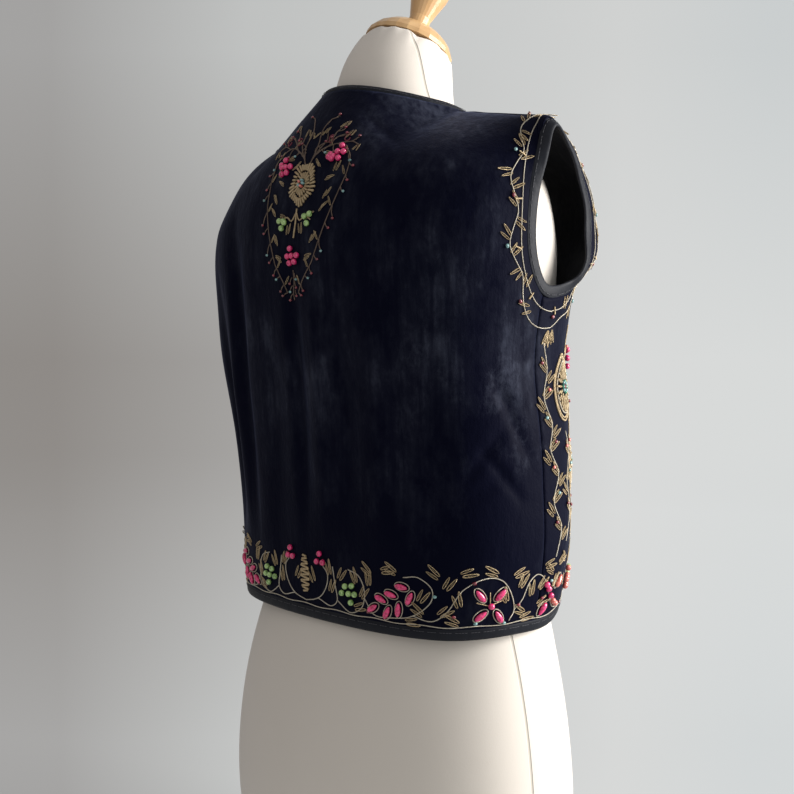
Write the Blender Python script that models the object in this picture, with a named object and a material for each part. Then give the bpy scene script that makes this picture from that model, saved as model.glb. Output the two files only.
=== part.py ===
# Waist-length embroidered velvet vest, worn open on a limbless dress form.
# Metres, +Z up. The front of the vest faces -Y and the wearer's left side is +X.
# A panel is a grid: columns run round the body, rows run from the hem to the shoulder.
from collections import namedtuple
from math import cos, pi, radians, sin, tan

import bmesh
import bpy
import numpy as np
from mathutils import Matrix, Vector
from mathutils.bvhtree import BVHTree

# Cloth sizes
SEAM_GAP = 0.0003
VELVET_WALL = 0.0015
LINING_WALL = 0.0010
BINDING_WIDTH = 0.0090
BINDING_PROUD = 0.0006
CHEST_HEIGHT = 0.517  # height of the side seam's top

# Grid sizes. The columns under the armhole end at its lowest row.
NECK_COLUMNS = 6
SHOULDER_COLUMNS = 8
HALF_BACK = NECK_COLUMNS + SHOULDER_COLUMNS
FRONT_COLUMNS = SHOULDER_COLUMNS
FRONT_UNDERARM_COLUMNS = 3
LOWER_ROWS = 8
UPPER_ROWS = 10
FRONT_CORNER = 0.79  # share of the front's widest row that lies before the armhole's corner
CORNER_BLEND = 1.6  # levels over which the rows above settle into their own curves

# Corners where the shoulder seam starts and ends, on the +X side
SIDE_NECK = (0.073, 0.002, 0.682)
SHOULDER_TIP = (0.182, 0.010, 0.665)
UNDERARM_LEVEL = 4

# The back's ribs, hem first: the centre-back point, then the point on the side seam or armhole.
# tilt lifts a rib's left side, as the vest hangs a little askew.
BackRib = namedtuple("BackRib", "mid_y mid_z left_x right_x side_y side_z fullness tilt")
BACK_RIBS = [
    BackRib(0.104, 0.253, 0.173, 0.168, 0.005, 0.256, 0.74, -0.01),
    BackRib(0.108, 0.328, 0.177, 0.181, 0.008, 0.330, 0.74, 0.00),
    BackRib(0.113, 0.398, 0.186, 0.181, 0.012, 0.400, 0.73, 0.00),
    BackRib(0.120, 0.470, 0.201, 0.176, 0.016, 0.462, 0.72, 0.00),
    BackRib(0.125, 0.532, 0.208, 0.181, 0.014, CHEST_HEIGHT, 0.70, 0.00),
    BackRib(0.126, 0.560, 0.205, 0.181, 0.026, 0.541, 0.68, 0.00),
    BackRib(0.125, 0.588, 0.198, 0.182, 0.0315, 0.567, 0.66, 0.01),
    BackRib(0.120, 0.617, 0.188, 0.183, 0.031, 0.594, 0.56, 0.02),
    BackRib(0.105, 0.652, 0.181, 0.183, 0.026, 0.624, 0.49, 0.04),
    BackRib(0.076, 0.696, SHOULDER_TIP[0], SHOULDER_TIP[0], SHOULDER_TIP[1], SHOULDER_TIP[2], 0.46, 0.05),
]
YOKE_START = 7.0  # the level where the back starts to bend over the shoulder
FRONT_YOKE_START = 9.0
YOKE_CROWN = 0.006  # how far it bulges there

# The fronts' ribs, hem first: the point on the front edge or neckline, then the side or armhole.
FrontRib = namedtuple("FrontRib", "edge_x edge_y edge_z left_x right_x side_y side_z fullness crown tilt")
FRONT_RIBS = [
    FrontRib(0.030, -0.091, 0.268, 0.173, 0.168, 0.005, 0.256, 0.56, 0.000, -0.01),
    FrontRib(0.027, -0.097, 0.336, 0.177, 0.181, 0.008, 0.330, 0.56, 0.000, 0.00),
    FrontRib(0.024, -0.100, 0.404, 0.186, 0.181, 0.012, 0.400, 0.54, 0.000, 0.00),
    FrontRib(0.023, -0.102, 0.474, 0.201, 0.176, 0.016, 0.462, 0.52, 0.000, 0.00),
    FrontRib(0.023, -0.109, 0.532, 0.208, 0.181, 0.014, CHEST_HEIGHT, 0.54, 0.002, 0.00),
    FrontRib(0.025, -0.111, 0.562, 0.184, 0.177, -0.042, 0.538, 0.50, 0.002, 0.00),
    FrontRib(0.036, -0.107, 0.592, 0.172, 0.168, -0.058, 0.566, 0.46, 0.003, 0.01),
    FrontRib(0.051, -0.094, 0.622, 0.164, 0.164, -0.062, 0.592, 0.42, 0.003, 0.02),
    FrontRib(0.064, -0.071, 0.648, 0.164, 0.165, -0.051, 0.617, 0.38, 0.002, 0.03),
    FrontRib(0.073, -0.036, 0.669, 0.173, 0.174, -0.027, 0.644, 0.35, 0.001, 0.04),
    FrontRib(*SIDE_NECK, SHOULDER_TIP[0], SHOULDER_TIP[0], *SHOULDER_TIP[1:], 0.33, 0.000, 0.05),
]

# Soft vertical troughs of the back: distances from the centre back at top and bottom,
# + towards the wearer's left, then the heights they run between.
Fold = namedtuple("Fold", "top_u low_u top_z low_z width depth")
BACK_FOLDS = [
    Fold(0.047, 0.044, 0.555, 0.270, 0.014, 0.0040),
    Fold(0.098, 0.105, 0.610, 0.440, 0.016, 0.0040),
    Fold(0.150, 0.128, 0.520, 0.300, 0.018, 0.0035),
    Fold(-0.060, -0.052, 0.500, 0.290, 0.020, 0.0030),
    Fold(-0.128, -0.136, 0.480, 0.300, 0.020, 0.0035),
]
FRONT_FOLDS = [
    Fold(0.140, 0.150, 0.420, 0.300, 0.010, 0.0025),
    Fold(0.038, 0.034, 0.490, 0.290, 0.013, 0.0030),
]

# Sections of the dress form, base first. tilt leans the neck's rings towards the front and
# lift raises a ring's left side, as the shoulders stand under the vest.
FormRing = namedtuple("FormRing", "height half_width back_y front_y tilt lift")
FORM_RINGS = [
    FormRing(0.000, 0.166, 0.108, -0.088, 0, 0),
    FormRing(0.006, 0.174, 0.115, -0.094, 0, 0),
    FormRing(0.030, 0.182, 0.121, -0.099, 0, 0),
    FormRing(0.070, 0.187, 0.125, -0.102, 0, 0),
    FormRing(0.120, 0.186, 0.124, -0.102, 0, 0),
    FormRing(0.180, 0.178, 0.116, -0.096, 0, 0),
    FormRing(0.230, 0.166, 0.101, -0.087, 0, 0),
    FormRing(0.275, 0.152, 0.089, -0.083, 0, 0),
    FormRing(0.340, 0.135, 0.078, -0.078, 0, 0),
    FormRing(0.400, 0.140, 0.086, -0.083, 0, 0),
    FormRing(0.460, 0.152, 0.099, -0.090, 0, 0),
    FormRing(0.515, 0.160, 0.107, -0.094, 0, 0),
    FormRing(0.560, 0.162, 0.107, -0.096, 0, 0),
    FormRing(0.598, 0.158, 0.102, -0.088, 0, 0.01),
    FormRing(0.624, 0.154, 0.093, -0.077, 0, 0.03),
    FormRing(0.6425, 0.132, 0.083, -0.063, 0, 0.035),
    FormRing(0.6545, 0.106, 0.075, -0.052, 0, 0.035),
    FormRing(0.6655, 0.0800, 0.0680, -0.043, 3, 0.03),
    FormRing(0.679, 0.0635, 0.0650, -0.040, 8, 0.04),
    FormRing(0.694, 0.0535, 0.0615, -0.036, 16, 0.02),
    FormRing(0.715, 0.0485, 0.0545, -0.037, 21, 0),
    FormRing(0.738, 0.0415, 0.0345, -0.0380, 26, 0),
]
FORM_SEGMENTS = 36
FORM_FULLNESS = 2.15

# Turned wood on the neck: height along the leaning axis and radius
NECK_TILT = radians(26)
NECK_TOP = (0.0, -0.00175, 0.738)
CAP_PROFILE = [
    (0.0, 0.0402), (0.0040, 0.0400), (0.0105, 0.0358), (0.0165, 0.0285), (0.0210, 0.0190), (0.0225, 0.0105),
]
FINIAL_PROFILE = [
    (0.0, 0.0100), (0.0018, 0.0112), (0.0040, 0.0096), (0.0110, 0.0098), (0.0220, 0.0130),
    (0.0340, 0.0168), (0.0430, 0.0182), (0.0510, 0.0176), (0.0580, 0.0142), (0.0630, 0.0080),
]
TURNED_SEGMENTS = 24

# Embroidery that stands out in the velvet
ROUND_BEAD = 0.0027
HEM_BEAD = 0.0032
DROP_LENGTH = 0.0125
DROP_WIDTH = 0.0060
BEAD_SINK = 0.0007
BEAD_SIDES = 6

VELVET_COLOUR = (0.006, 0.007, 0.016, 1)
SATIN_COLOUR = (0.012, 0.012, 0.014, 1)
FORM_COLOUR = (0.74, 0.69, 0.61, 1)
WOOD_COLOUR = (0.66, 0.42, 0.20, 1)


def clear_scene():
    for item in list(bpy.data.objects):
        bpy.data.objects.remove(item)


def material(name, colour, roughness):
    made = bpy.data.materials.new(name)
    made.use_nodes = True
    shader = made.node_tree.nodes["Principled BSDF"]
    shader.inputs["Base Color"].default_value = colour
    shader.inputs["Roughness"].default_value = roughness
    shader.inputs["Metallic"].default_value = 0.0
    return made


def add_object(name, points, faces, finish):
    mesh = bpy.data.meshes.new(name)
    mesh.from_pydata([tuple(p) for p in points], [], faces)
    editing = bmesh.new()
    editing.from_mesh(mesh)
    bmesh.ops.recalc_face_normals(editing, faces=editing.faces)
    if editing.calc_volume(signed=True) < 0:
        bmesh.ops.reverse_faces(editing, faces=editing.faces)
    editing.to_mesh(mesh)
    editing.free()
    made = bpy.data.objects.new(name, mesh)
    bpy.context.scene.collection.objects.link(made)
    mesh.materials.append(finish)
    mesh.shade_smooth()
    mesh.set_sharp_from_angle(angle=radians(40))
    return made


# Ribs

def slopes(values):
    """Slopes at whole levels that never overshoot the table's values."""
    steps = np.diff(values)
    inner = np.zeros(len(values))
    same = steps[:-1] * steps[1:] > 0
    mean = 2 * steps[:-1] * steps[1:] / np.where(same, steps[:-1] + steps[1:], 1)
    inner[1:-1] = np.where(same, mean, 0)
    inner[0], inner[-1] = steps[0], steps[-1]
    return inner


def rib_at(table, level):
    """The table's columns at any level between its first and last row."""
    values = np.array(table, float)
    low = min(int(level), len(table) - 2)
    part = level - low
    rises = np.apply_along_axis(slopes, 0, values)
    a, b = values[low], values[low + 1]
    row = (
        a * (2 * part**3 - 3 * part**2 + 1)
        + rises[low] * (part**3 - 2 * part**2 + part)
        + b * (3 * part**2 - 2 * part**3)
        + rises[low + 1] * (part**3 - part**2)
    )
    return type(table[0])(*row)


def rib_curve(start, end, fullness, crown, shares, fall):
    """Points from start to end on a curve that leaves across the body and arrives along the side."""
    start, end = np.array(start, float), np.array(end, float)
    leave = start + [fullness * (end[0] - start[0]), 0, 0]
    arrive = end - [0, fullness * (end[1] - start[1]), 0]
    leave[1] -= crown
    arrive[1] -= crown
    q = np.linspace(0, 1, 81)[:, None]
    fine = start * (1 - q) ** 3 + leave * 3 * q * (1 - q) ** 2 + arrive * 3 * q**2 * (1 - q) + end * q**3
    fine[:, 2] = start[2] + (end[2] - start[2]) * fall(q[:, 0])
    lengths = np.concatenate([[0], np.cumsum(np.linalg.norm(np.diff(fine, axis=0), axis=1))])
    wanted = np.asarray(shares) * lengths[-1]
    return np.stack([np.interp(wanted, lengths, fine[:, k]) for k in range(3)], axis=1)


def late_fall(q):
    """How far a lower row has fallen towards its side: level to halfway, then a soft step."""
    late = np.clip(2 * q - 1, 0, 1)
    return late**2 * (3 - 2 * late)


def upper_fall(q):
    return q**2


def shoulder_seam(side, shares):
    neck, tip = np.array(SIDE_NECK), np.array(SHOULDER_TIP)
    return (neck + (tip - neck) * np.asarray(shares)[:, None]) * [side, 1, 1]


def shoulder_and_neck(side, shares):
    """The back's top edge: the neckline's quarter turn, then the shoulder seam."""
    turn = NECK_COLUMNS / HALF_BACK
    nape = BACK_RIBS[-1]
    points = []
    for share in shares:
        if share <= turn:
            angle = share / turn * pi / 2
            x = SIDE_NECK[0] * sin(angle)
            y = SIDE_NECK[1] + (nape.mid_y - SIDE_NECK[1]) * cos(angle)
            z = SIDE_NECK[2] + (nape.mid_z - SIDE_NECK[2]) * cos(angle) ** 1.5
            points.append((side * x, y, z))
        else:
            points.append(shoulder_seam(side, [(share - turn) / (1 - turn)])[0])
    return np.array(points)


def start_and_end(rib, side):
    across = rib.left_x if side > 0 else rib.right_x
    end = (side * across, rib.side_y, rib.side_z)
    if isinstance(rib, BackRib):
        return (0, rib.mid_y, rib.mid_z), end, 0
    return (side * rib.edge_x, rib.edge_y, rib.edge_z), end, rib.crown


def lower_row(table, side, shares, level):
    rib = rib_at(table[: UNDERARM_LEVEL + 1], level)
    start, end, crown = start_and_end(rib, side)
    return rib_curve(start, end, rib.fullness, crown, shares, late_fall)


def upper_row(table, side, shares, level, corner_share):
    """A row that ends on the armhole. Near the corner it takes the widest row's curve."""
    widest = lower_row(table, side, shares * corner_share, UNDERARM_LEVEL)
    ribs = table[UNDERARM_LEVEL:]
    ribs[0] = ribs[0]._replace(
        left_x=side * widest[-1, 0], right_x=side * widest[-1, 0], side_y=widest[-1, 1], side_z=widest[-1, 2]
    )

    def plain(at):
        rib = rib_at(ribs, at)
        start, end, crown = start_and_end(rib, side)
        return rib_curve(start, end, rib.fullness, crown, shares, upper_fall)

    fade = np.clip(1 - (level - UNDERARM_LEVEL) / CORNER_BLEND, 0, 1)
    return plain(level - UNDERARM_LEVEL) + fade**2 * (3 - 2 * fade) * (widest - plain(0))


def yoke(points, table, side, shares, level, corner_share):
    """Bends the top rows into the shoulder seam and, at the back, the neckline."""
    top_level = len(table) - 1
    of_back = table is BACK_RIBS
    start = YOKE_START if of_back else FRONT_YOKE_START
    top_edge = shoulder_and_neck if of_back else shoulder_seam
    if level <= start:
        return points
    part = (level - start) / (top_level - start)
    plain = upper_row(table, side, shares, top_level, corner_share)
    bent = points + part**1.6 * (top_edge(side, shares) - plain)
    if table is BACK_RIBS:
        crown = sin(pi * part) * np.sin(pi * np.clip(shares * 0.9 + 0.1, 0, 1))[:, None]
        bent += crown * YOKE_CROWN * np.array([0, 0.45, 0.9])
    return bent


def half_grid(table, side, columns, underarm_columns, corner_share):
    """Rows of points from the centre to the side. Missing points above the armhole's corner are NaN."""
    inner = np.linspace(0, 1, columns + 1)
    outer = np.linspace(corner_share, 1, underarm_columns + 1)[1:]
    full = np.concatenate([inner * corner_share, outer])
    rows = []
    for level in np.linspace(0, UNDERARM_LEVEL, LOWER_ROWS + 1):
        rows.append(lower_row(table, side, full, level))
    gap = np.full((underarm_columns, 3), np.nan)
    for level in np.linspace(UNDERARM_LEVEL, len(table) - 1, UPPER_ROWS + 1)[1:]:
        points = upper_row(table, side, inner, level, corner_share)
        points = yoke(points, table, side, inner, level, corner_share)
        rows.append(np.concatenate([points, gap]))
    levels = np.concatenate(
        [
            np.linspace(0, UNDERARM_LEVEL, LOWER_ROWS + 1),
            np.linspace(UNDERARM_LEVEL, len(table) - 1, UPPER_ROWS + 1)[1:],
        ]
    )
    for row, level in zip(rows, levels):
        row[:, 2] += rib_at(table, level).tilt * np.clip(row[:, 0], -0.1, 0.1)
    return np.array(rows)


def grid_faces(points):
    """Triangles of every whole cell, the same diagonal in each."""
    rows, columns = points.shape[:2]
    there = ~np.isnan(points[:, :, 0])
    faces = []
    for j in range(rows - 1):
        for i in range(columns - 1):
            a, b = j * columns + i, j * columns + i + 1
            c, d = b + columns, a + columns
            if there[j, i] and there[j, i + 1] and there[j + 1, i] and there[j + 1, i + 1]:
                faces += [(a, b, c), (a, c, d)]
    return faces


def grid_normals(points, outward_sign):
    """Vertex normals from the triangles round each point."""
    flat = points.reshape(-1, 3)
    normals = np.zeros_like(flat)
    for face in grid_faces(points):
        a, b, c = flat[list(face)]
        turn = np.cross(b - a, c - a)
        for k in face:
            normals[k] += turn
    lengths = np.linalg.norm(normals, axis=1, keepdims=True)
    normals = outward_sign * normals / np.where(lengths > 0, lengths, 1)
    return normals.reshape(points.shape)


def push_folds(points, normals, folds, distances):
    """Moves the panel's points in along each trough. distances are measured from the panel's centre line."""
    pushed = points.copy()
    heights = points[:, :, 2]
    for fold in folds:
        part = np.clip((fold.top_z - heights) / (fold.top_z - fold.low_z), 0, 1)
        middle = fold.top_u + (fold.low_u - fold.top_u) * part
        fade = np.sin(pi * part) ** 0.6
        trough = np.exp(-(((distances - middle) / fold.width) ** 2))
        pushed -= normals * (fold.depth * fade * trough)[:, :, None]
    return pushed


def distances_along(points, origin):
    """Signed distance along each row from the origin column."""
    steps = np.linalg.norm(np.diff(points, axis=1), axis=2)
    right = np.cumsum(steps[:, origin:], axis=1)
    left = -np.cumsum(steps[:, :origin][:, ::-1], axis=1)[:, ::-1]
    return np.concatenate([left, np.zeros((len(points), 1)), right], axis=1)


def back_grid():
    """Points and outward normals of the whole back, from the wearer's right to the left."""
    right = half_grid(BACK_RIBS, -1, HALF_BACK, 0, 1)
    left = half_grid(BACK_RIBS, 1, HALF_BACK, 0, 1)
    points = np.concatenate([right[:, ::-1], left[:, 1:]], axis=1)
    points = push_folds(points, grid_normals(points, -1), BACK_FOLDS, distances_along(points, HALF_BACK))
    return points, grid_normals(points, -1)


def front_grid(side):
    """Points and outward normals of one front, from its front edge to its side."""
    points = half_grid(FRONT_RIBS, side, FRONT_COLUMNS, FRONT_UNDERARM_COLUMNS, FRONT_CORNER)
    points = push_folds(points, grid_normals(points, side), FRONT_FOLDS, distances_along(points, 0))
    return points, grid_normals(points, side)


def share_seam_normals(back, front, side):
    """At the side and shoulder seams both panels use one direction, so their walls stay apart."""
    column = -1 if side > 0 else 0
    seam = slice(0, LOWER_ROWS + 1)
    middle = back[seam, column] + front[seam, -1]
    middle /= np.linalg.norm(middle, axis=1, keepdims=True)
    back[seam, column] = front[seam, -1] = middle
    for k in range(SHOULDER_COLUMNS + 1):
        here = HALF_BACK + side * (NECK_COLUMNS + k)
        middle = back[-1, here] + front[-1, k]
        back[-1, here] = front[-1, k] = middle / np.linalg.norm(middle)


# Walls

def border_edges(faces):
    """Directed edges that only one triangle uses."""
    edges = {(f[k], f[(k + 1) % 3]) for f in faces for k in range(3)}
    return [(a, b) for a, b in edges if (b, a) not in edges]


def outward_faces(flat, normals, faces):
    a, b, c = faces[0]
    turn = np.cross(flat[b] - flat[a], flat[c] - flat[a])
    return faces if np.dot(turn, normals[a]) > 0 else [tuple(reversed(face)) for face in faces]


def drawn_in(flat, normals, faces):
    """The points with the border moved half a seam gap into the sheet."""
    leads, trails = {}, {}
    for a, b in border_edges(faces):
        step = (flat[b] - flat[a]) / np.linalg.norm(flat[b] - flat[a])
        leads[a] = step
        trails[b] = step
    inset = flat.copy()
    for k, lead in leads.items():
        one, two = np.cross(normals[k], lead), np.cross(normals[k], trails[k])
        one, two = one / np.linalg.norm(one), two / np.linalg.norm(two)
        middle = (one + two) / np.linalg.norm(one + two)
        inset[k] += middle * SEAM_GAP / 2 / max(0.6, float(np.dot(middle, one)))
    return inset


def wall(name, points, normals, outer, inner, finish):
    """A closed sheet between two depths below the grid's surface."""
    flat, facing = points.reshape(-1, 3), normals.reshape(-1, 3)
    faces = outward_faces(flat, facing, grid_faces(points))
    used = sorted({k for face in faces for k in face})
    number = {k: n for n, k in enumerate(used)}
    edge = drawn_in(flat, facing, faces)
    both = np.concatenate([edge[used] - facing[used] * outer, edge[used] - facing[used] * inner])
    below = len(used)
    closed = []
    for face in faces:
        here = [number[k] for k in face]
        closed.append(tuple(here))
        closed.append(tuple(below + k for k in reversed(here)))
    for a, b in border_edges(faces):
        a, b = number[a], number[b]
        closed += [(b, a, below + a), (b, below + a, below + b)]
    return add_object(name, both, closed, finish)


def strip(name, path, normals, towards, finish):
    """A bound edge: a closed flat rounded band that starts half a seam gap outside the path."""
    path, normals = np.array(path), np.array(normals)
    before = path - np.roll(path, 1, axis=0)
    before /= np.linalg.norm(before, axis=1, keepdims=True)
    after = np.roll(before, -1, axis=0)
    tangents = before + after
    tangents /= np.linalg.norm(tangents, axis=1, keepdims=True)
    out = np.cross(tangents, normals)
    out /= np.linalg.norm(out, axis=1, keepdims=True)
    out *= np.sign(np.sum(out * towards(path), axis=1))[:, None]
    mitre = 1 / np.clip(np.sum(tangents * before, axis=1), 0.6, 1)
    inside = -(VELVET_WALL + SEAM_GAP + LINING_WALL)
    near, far = SEAM_GAP / 2, SEAM_GAP / 2 + BINDING_WIDTH
    section = [
        (near, inside),
        (near, -VELVET_WALL),
        (near, BINDING_PROUD),
        (0.65 * far, BINDING_PROUD + 0.0003),
        (far, BINDING_PROUD - 0.0014),
        (far, inside + 0.0010),
        (0.65 * far, inside - 0.0003),
    ]
    count = len(section)
    points = [p + o * a * m + n * b for p, o, n, m in zip(path, out, normals, mitre) for a, b in section]
    along = np.sum(np.cross(normals, tangents) * out) < 0  # the path runs as the panel's own border does
    faces = []
    for j in range(len(path)):
        here, following = j * count, (j + 1) % len(path) * count
        for i in range(count):
            k = (i + 1) % count
            corners = (here + i, here + k, following + k, following + i)
            if i < 2 and along:
                faces += [(corners[0], corners[1], corners[2]), (corners[0], corners[2], corners[3])]
            elif i < 2:
                faces += [(corners[1], corners[2], corners[3]), (corners[0], corners[1], corners[3])]
            else:
                faces.append(corners)
    return add_object(name, points, faces, finish)


# Raised embroidery

def domed(outline, rings):
    """A closed bump: the outline scaled and raised ring by ring, its base following the surface too."""
    count = len(outline)
    points = [(x * scale, y * scale, z) for scale, z in rings for x, y in outline]
    faces = [tuple(range(count - 1, -1, -1)), tuple((len(rings) - 1) * count + k for k in range(count))]
    for ring in range(len(rings) - 1):
        for k in range(count):
            n = (k + 1) % count
            low, high = ring * count, (ring + 1) * count
            faces.append((low + k, low + n, high + n, high + k))
    return points, faces


def oval(length, width, sides):
    turns = [2 * pi * k / sides for k in range(sides)]
    return [(length / 2 * cos(a), width / 2 * sin(a)) for a in turns]


def bead_points(length, width, height, sides):
    """A low dome with an oval foot that reaches under the surface by the sink."""
    return domed(oval(length, width, sides), [(1.0, -BEAD_SINK), (0.96, height * 0.55), (0.50, height)])


def petal_ring(radius, height, petals):
    """A rosette of low petals round a sunk middle."""
    reach = [radius * (1.0 if k % 2 else 0.86) for k in range(2 * petals)]
    outline = [(r * cos(pi * k / petals), r * sin(pi * k / petals)) for k, r in enumerate(reach)]
    sunk = [(0.4, -BEAD_SINK), (1.0, -BEAD_SINK)]
    rings = sunk + [(0.92, height * 0.7), (0.55, height), (0.20, height * 0.45)]
    return domed(outline, rings)


def paisley(length, width, height):
    """A drop-shaped pad with its point upwards."""
    outline = []
    for x, y in oval(width, length, 12):
        narrowing = 1 - 0.55 * max(0, 2 * y / length) ** 1.5
        outline.append((x * narrowing, y))
    sunk = [(0.2, -BEAD_SINK), (0.6, -BEAD_SINK), (1.0, -BEAD_SINK)]
    rings = sunk + [(0.9, height * 0.7), (0.55, height)]
    return domed(outline, rings)


ROUND = (2 * ROUND_BEAD, 2 * ROUND_BEAD, 1.7 * ROUND_BEAD)
HEM_MIDDLE = 0.008
HEM_ROUND = (2 * HEM_BEAD, 2 * HEM_BEAD, 1.7 * HEM_BEAD)
DROP = (DROP_LENGTH, DROP_WIDTH, 0.75 * DROP_WIDTH)

# Groups of beads about a middle: across, up, turn in degrees
SIX_GRAPES = [(-0.45, 0.9), (0.75, 1.1), (-1.1, 0.0), (0.15, 0.05), (1.2, 0.1), (0.5, -1.0)]
THREE_GRAPES = [(0.0, 0.62), (-0.58, -0.42), (0.58, -0.42)]
SPRAY = [
    (-1.40, -0.75, 30), (-0.75, -0.05, -20), (-0.02, 0.35, -12), (-0.35, -0.90, 60),
    (0.45, -0.60, 80), (0.75, 0.95, -5), (1.25, 0.25, 60),
]
PETALS = [(-0.62, 0.75, 118), (0.68, 0.72, 45), (-0.72, -0.62, 38), (0.45, -0.78, 112)]


def grape_beads(group, u, v, size, mirror=1):
    pitch = size[0] * 1.06
    return [(u + mirror * a * pitch, v + b * pitch, 0, size) for a, b in group]


def drop_beads(group, u, v, mirror=1):
    return [
        (u + mirror * a * DROP_LENGTH * 1.15, v + b * DROP_LENGTH, turn if mirror > 0 else 180 - turn, DROP)
        for a, b, turn in group
    ]


def flower_beads(u, v, mirror=1):
    petals = [
        (u + mirror * a * DROP_LENGTH, v + b * DROP_LENGTH, turn if mirror > 0 else 180 - turn, DROP)
        for a, b, turn in PETALS
    ]
    return petals + [(u, v, 0, ROUND)]


def bead_on(surface, locate, u, v, size, turn):
    """World points of one bead: its own points laid on the surface, then moved out along the normal."""
    points, faces = size if isinstance(size[0], list) else bead_points(*size, BEAD_SIDES)
    c, s = cos(radians(turn)), sin(radians(turn))
    placed = []
    for x, y, z in points:
        point, normal = locate(u + c * x - s * y, v + s * x + c * y)
        hit = surface.find_nearest(Vector(point))[0]
        placed.append(np.array(hit) + normal / np.linalg.norm(normal) * z)
    return placed, faces


def raise_beads(panel, groups):
    """Joins the beads to the panel's outer face. groups: (locator, beads) pairs."""
    depsgraph = bpy.context.evaluated_depsgraph_get()
    surface = BVHTree.FromObject(panel, depsgraph)
    all_points, all_faces = [], []
    for locate, beads in groups:
        for u, v, turn, size in beads:
            points, faces = bead_on(surface, locate, u, v, size, turn)
            start = len(all_points)
            all_points += points
            all_faces += [tuple(start + k for k in face) for face in faces]
    cutter = add_object(panel.name + "_beads", all_points, all_faces, panel.data.materials[0])
    cutter.hide_render = True
    cutter.display_type = "WIRE"
    join = panel.modifiers.new("raised beads", "BOOLEAN")
    join.operation = "UNION"
    join.solver = "EXACT"
    join.object = cutter


def locator(points, normals, origin_column, u_sign, from_top):
    """Turns (distance from a column, height along the panel) into a place on the panel."""
    along = np.nan_to_num(np.linalg.norm(np.diff(points, axis=0), axis=2))
    heights = np.concatenate([np.zeros((1, points.shape[1])), np.cumsum(along, axis=0)])
    if from_top:
        heights = heights[-1] - heights
    distances = distances_along(points, origin_column) * u_sign

    def locate(u, v):
        column = origin_column
        for _ in range(5):
            height = heights[:, int(round(column))]
            order = np.argsort(height, kind="stable")
            row = float(np.interp(v, height[order], order))
            low = min(int(row), len(points) - 2)
            part = row - low
            spread = distances[low] * (1 - part) + distances[low + 1] * part
            known = np.flatnonzero(~np.isnan(spread))
            turned = known[np.argsort(spread[known])]
            column = float(np.interp(u, spread[turned], turned))
        left = min(int(column), points.shape[1] - 2)
        share = column - left

        def blend(grid):
            near = grid[low, left] * (1 - share) + grid[low, left + 1] * share
            far = grid[low + 1, left] * (1 - share) + grid[low + 1, left + 1] * share
            return near * (1 - part) + far * part

        return blend(points), blend(normals)

    return locate


def back_beads():
    """Hem border, the same to both sides of its middle."""
    beads = []
    for m in (-1, 1):
        beads += grape_beads(THREE_GRAPES, HEM_MIDDLE + m * 0.022, 0.0455, HEM_ROUND, m)
        beads += grape_beads(SIX_GRAPES, HEM_MIDDLE + m * 0.057, 0.0200, HEM_ROUND, m)
        beads += drop_beads(SPRAY, HEM_MIDDLE + m * 0.105, 0.0215, m)
        beads += flower_beads(HEM_MIDDLE + m * 0.189, 0.0200, m)
    return beads


def nape_beads():
    """The drop-shaped motif under the neck, measured down from the nape."""
    beads = [(-0.0115, 0.090, 0, petal_ring(0.0165, 0.0022, 10))]
    for m, u, v in ((-1, -0.044, 0.076), (1, 0.017, 0.081)):
        beads += grape_beads(SIX_GRAPES, u, v, ROUND, m)
    for m, u, v in ((-1, -0.023, 0.126), (1, 0.012, 0.130)):
        beads += grape_beads(THREE_GRAPES, u, v, ROUND, m)
    beads += grape_beads(SIX_GRAPES, -0.003, 0.155, ROUND)
    return beads


def front_beads():
    """Hem border and paisleys of a front, measured from its front edge."""
    beads = flower_beads(0.180, 0.0200)
    beads += grape_beads(SIX_GRAPES, 0.134, 0.0200, HEM_ROUND)
    beads += flower_beads(0.088, 0.0200, -1)
    pad = paisley(0.056, 0.036, 0.0022)
    for u, v in ((0.172, 0.185), (0.112, 0.112), (0.080, 0.187)):
        beads.append((u, v, 0, pad))
    beads += grape_beads(SIX_GRAPES, 0.124, 0.200, HEM_ROUND)
    beads += grape_beads(SIX_GRAPES, 0.098, 0.250, HEM_ROUND, -1)
    return beads


# Pieces

def build_panels(velvet, satin):
    grids = {"back": back_grid(), "front_left": front_grid(1), "front_right": front_grid(-1)}
    for side, name in ((1, "front_left"), (-1, "front_right")):
        share_seam_normals(grids["back"][1], grids[name][1], side)
    lining_start = VELVET_WALL + SEAM_GAP
    for part, (points, normals) in grids.items():
        name = "back_panel" if part == "back" else part.replace("front", "front_panel")
        panel = wall(name, points, normals, 0, VELVET_WALL, velvet)
        upper = slice(LOWER_ROWS - 1, None)
        lining_end = lining_start + LINING_WALL
        wall("lining_" + part, points[upper], normals[upper], lining_start, lining_end, satin)
        if part == "back":
            from_hem = locator(points, normals, HALF_BACK, 1, False)
            from_nape = locator(points, normals, HALF_BACK, 1, True)
            raise_beads(panel, [(from_hem, back_beads()), (from_nape, nape_beads())])
        else:
            from_side = locator(points, normals, 0, 1, False)
            raise_beads(panel, [(from_side, front_beads())])
    return grids


def armhole_edge(grid, side, underarm):
    """A grid's values along the armhole, from the side seam to the shoulder."""
    last = -1 if side > 0 else 0
    step = -1 if side > 0 else 1
    along = [grid[LOWER_ROWS, last + step * k] for k in range(underarm)]
    return along + [grid[j, last + step * underarm] for j in range(LOWER_ROWS, LOWER_ROWS + UPPER_ROWS + 1)]


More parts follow.
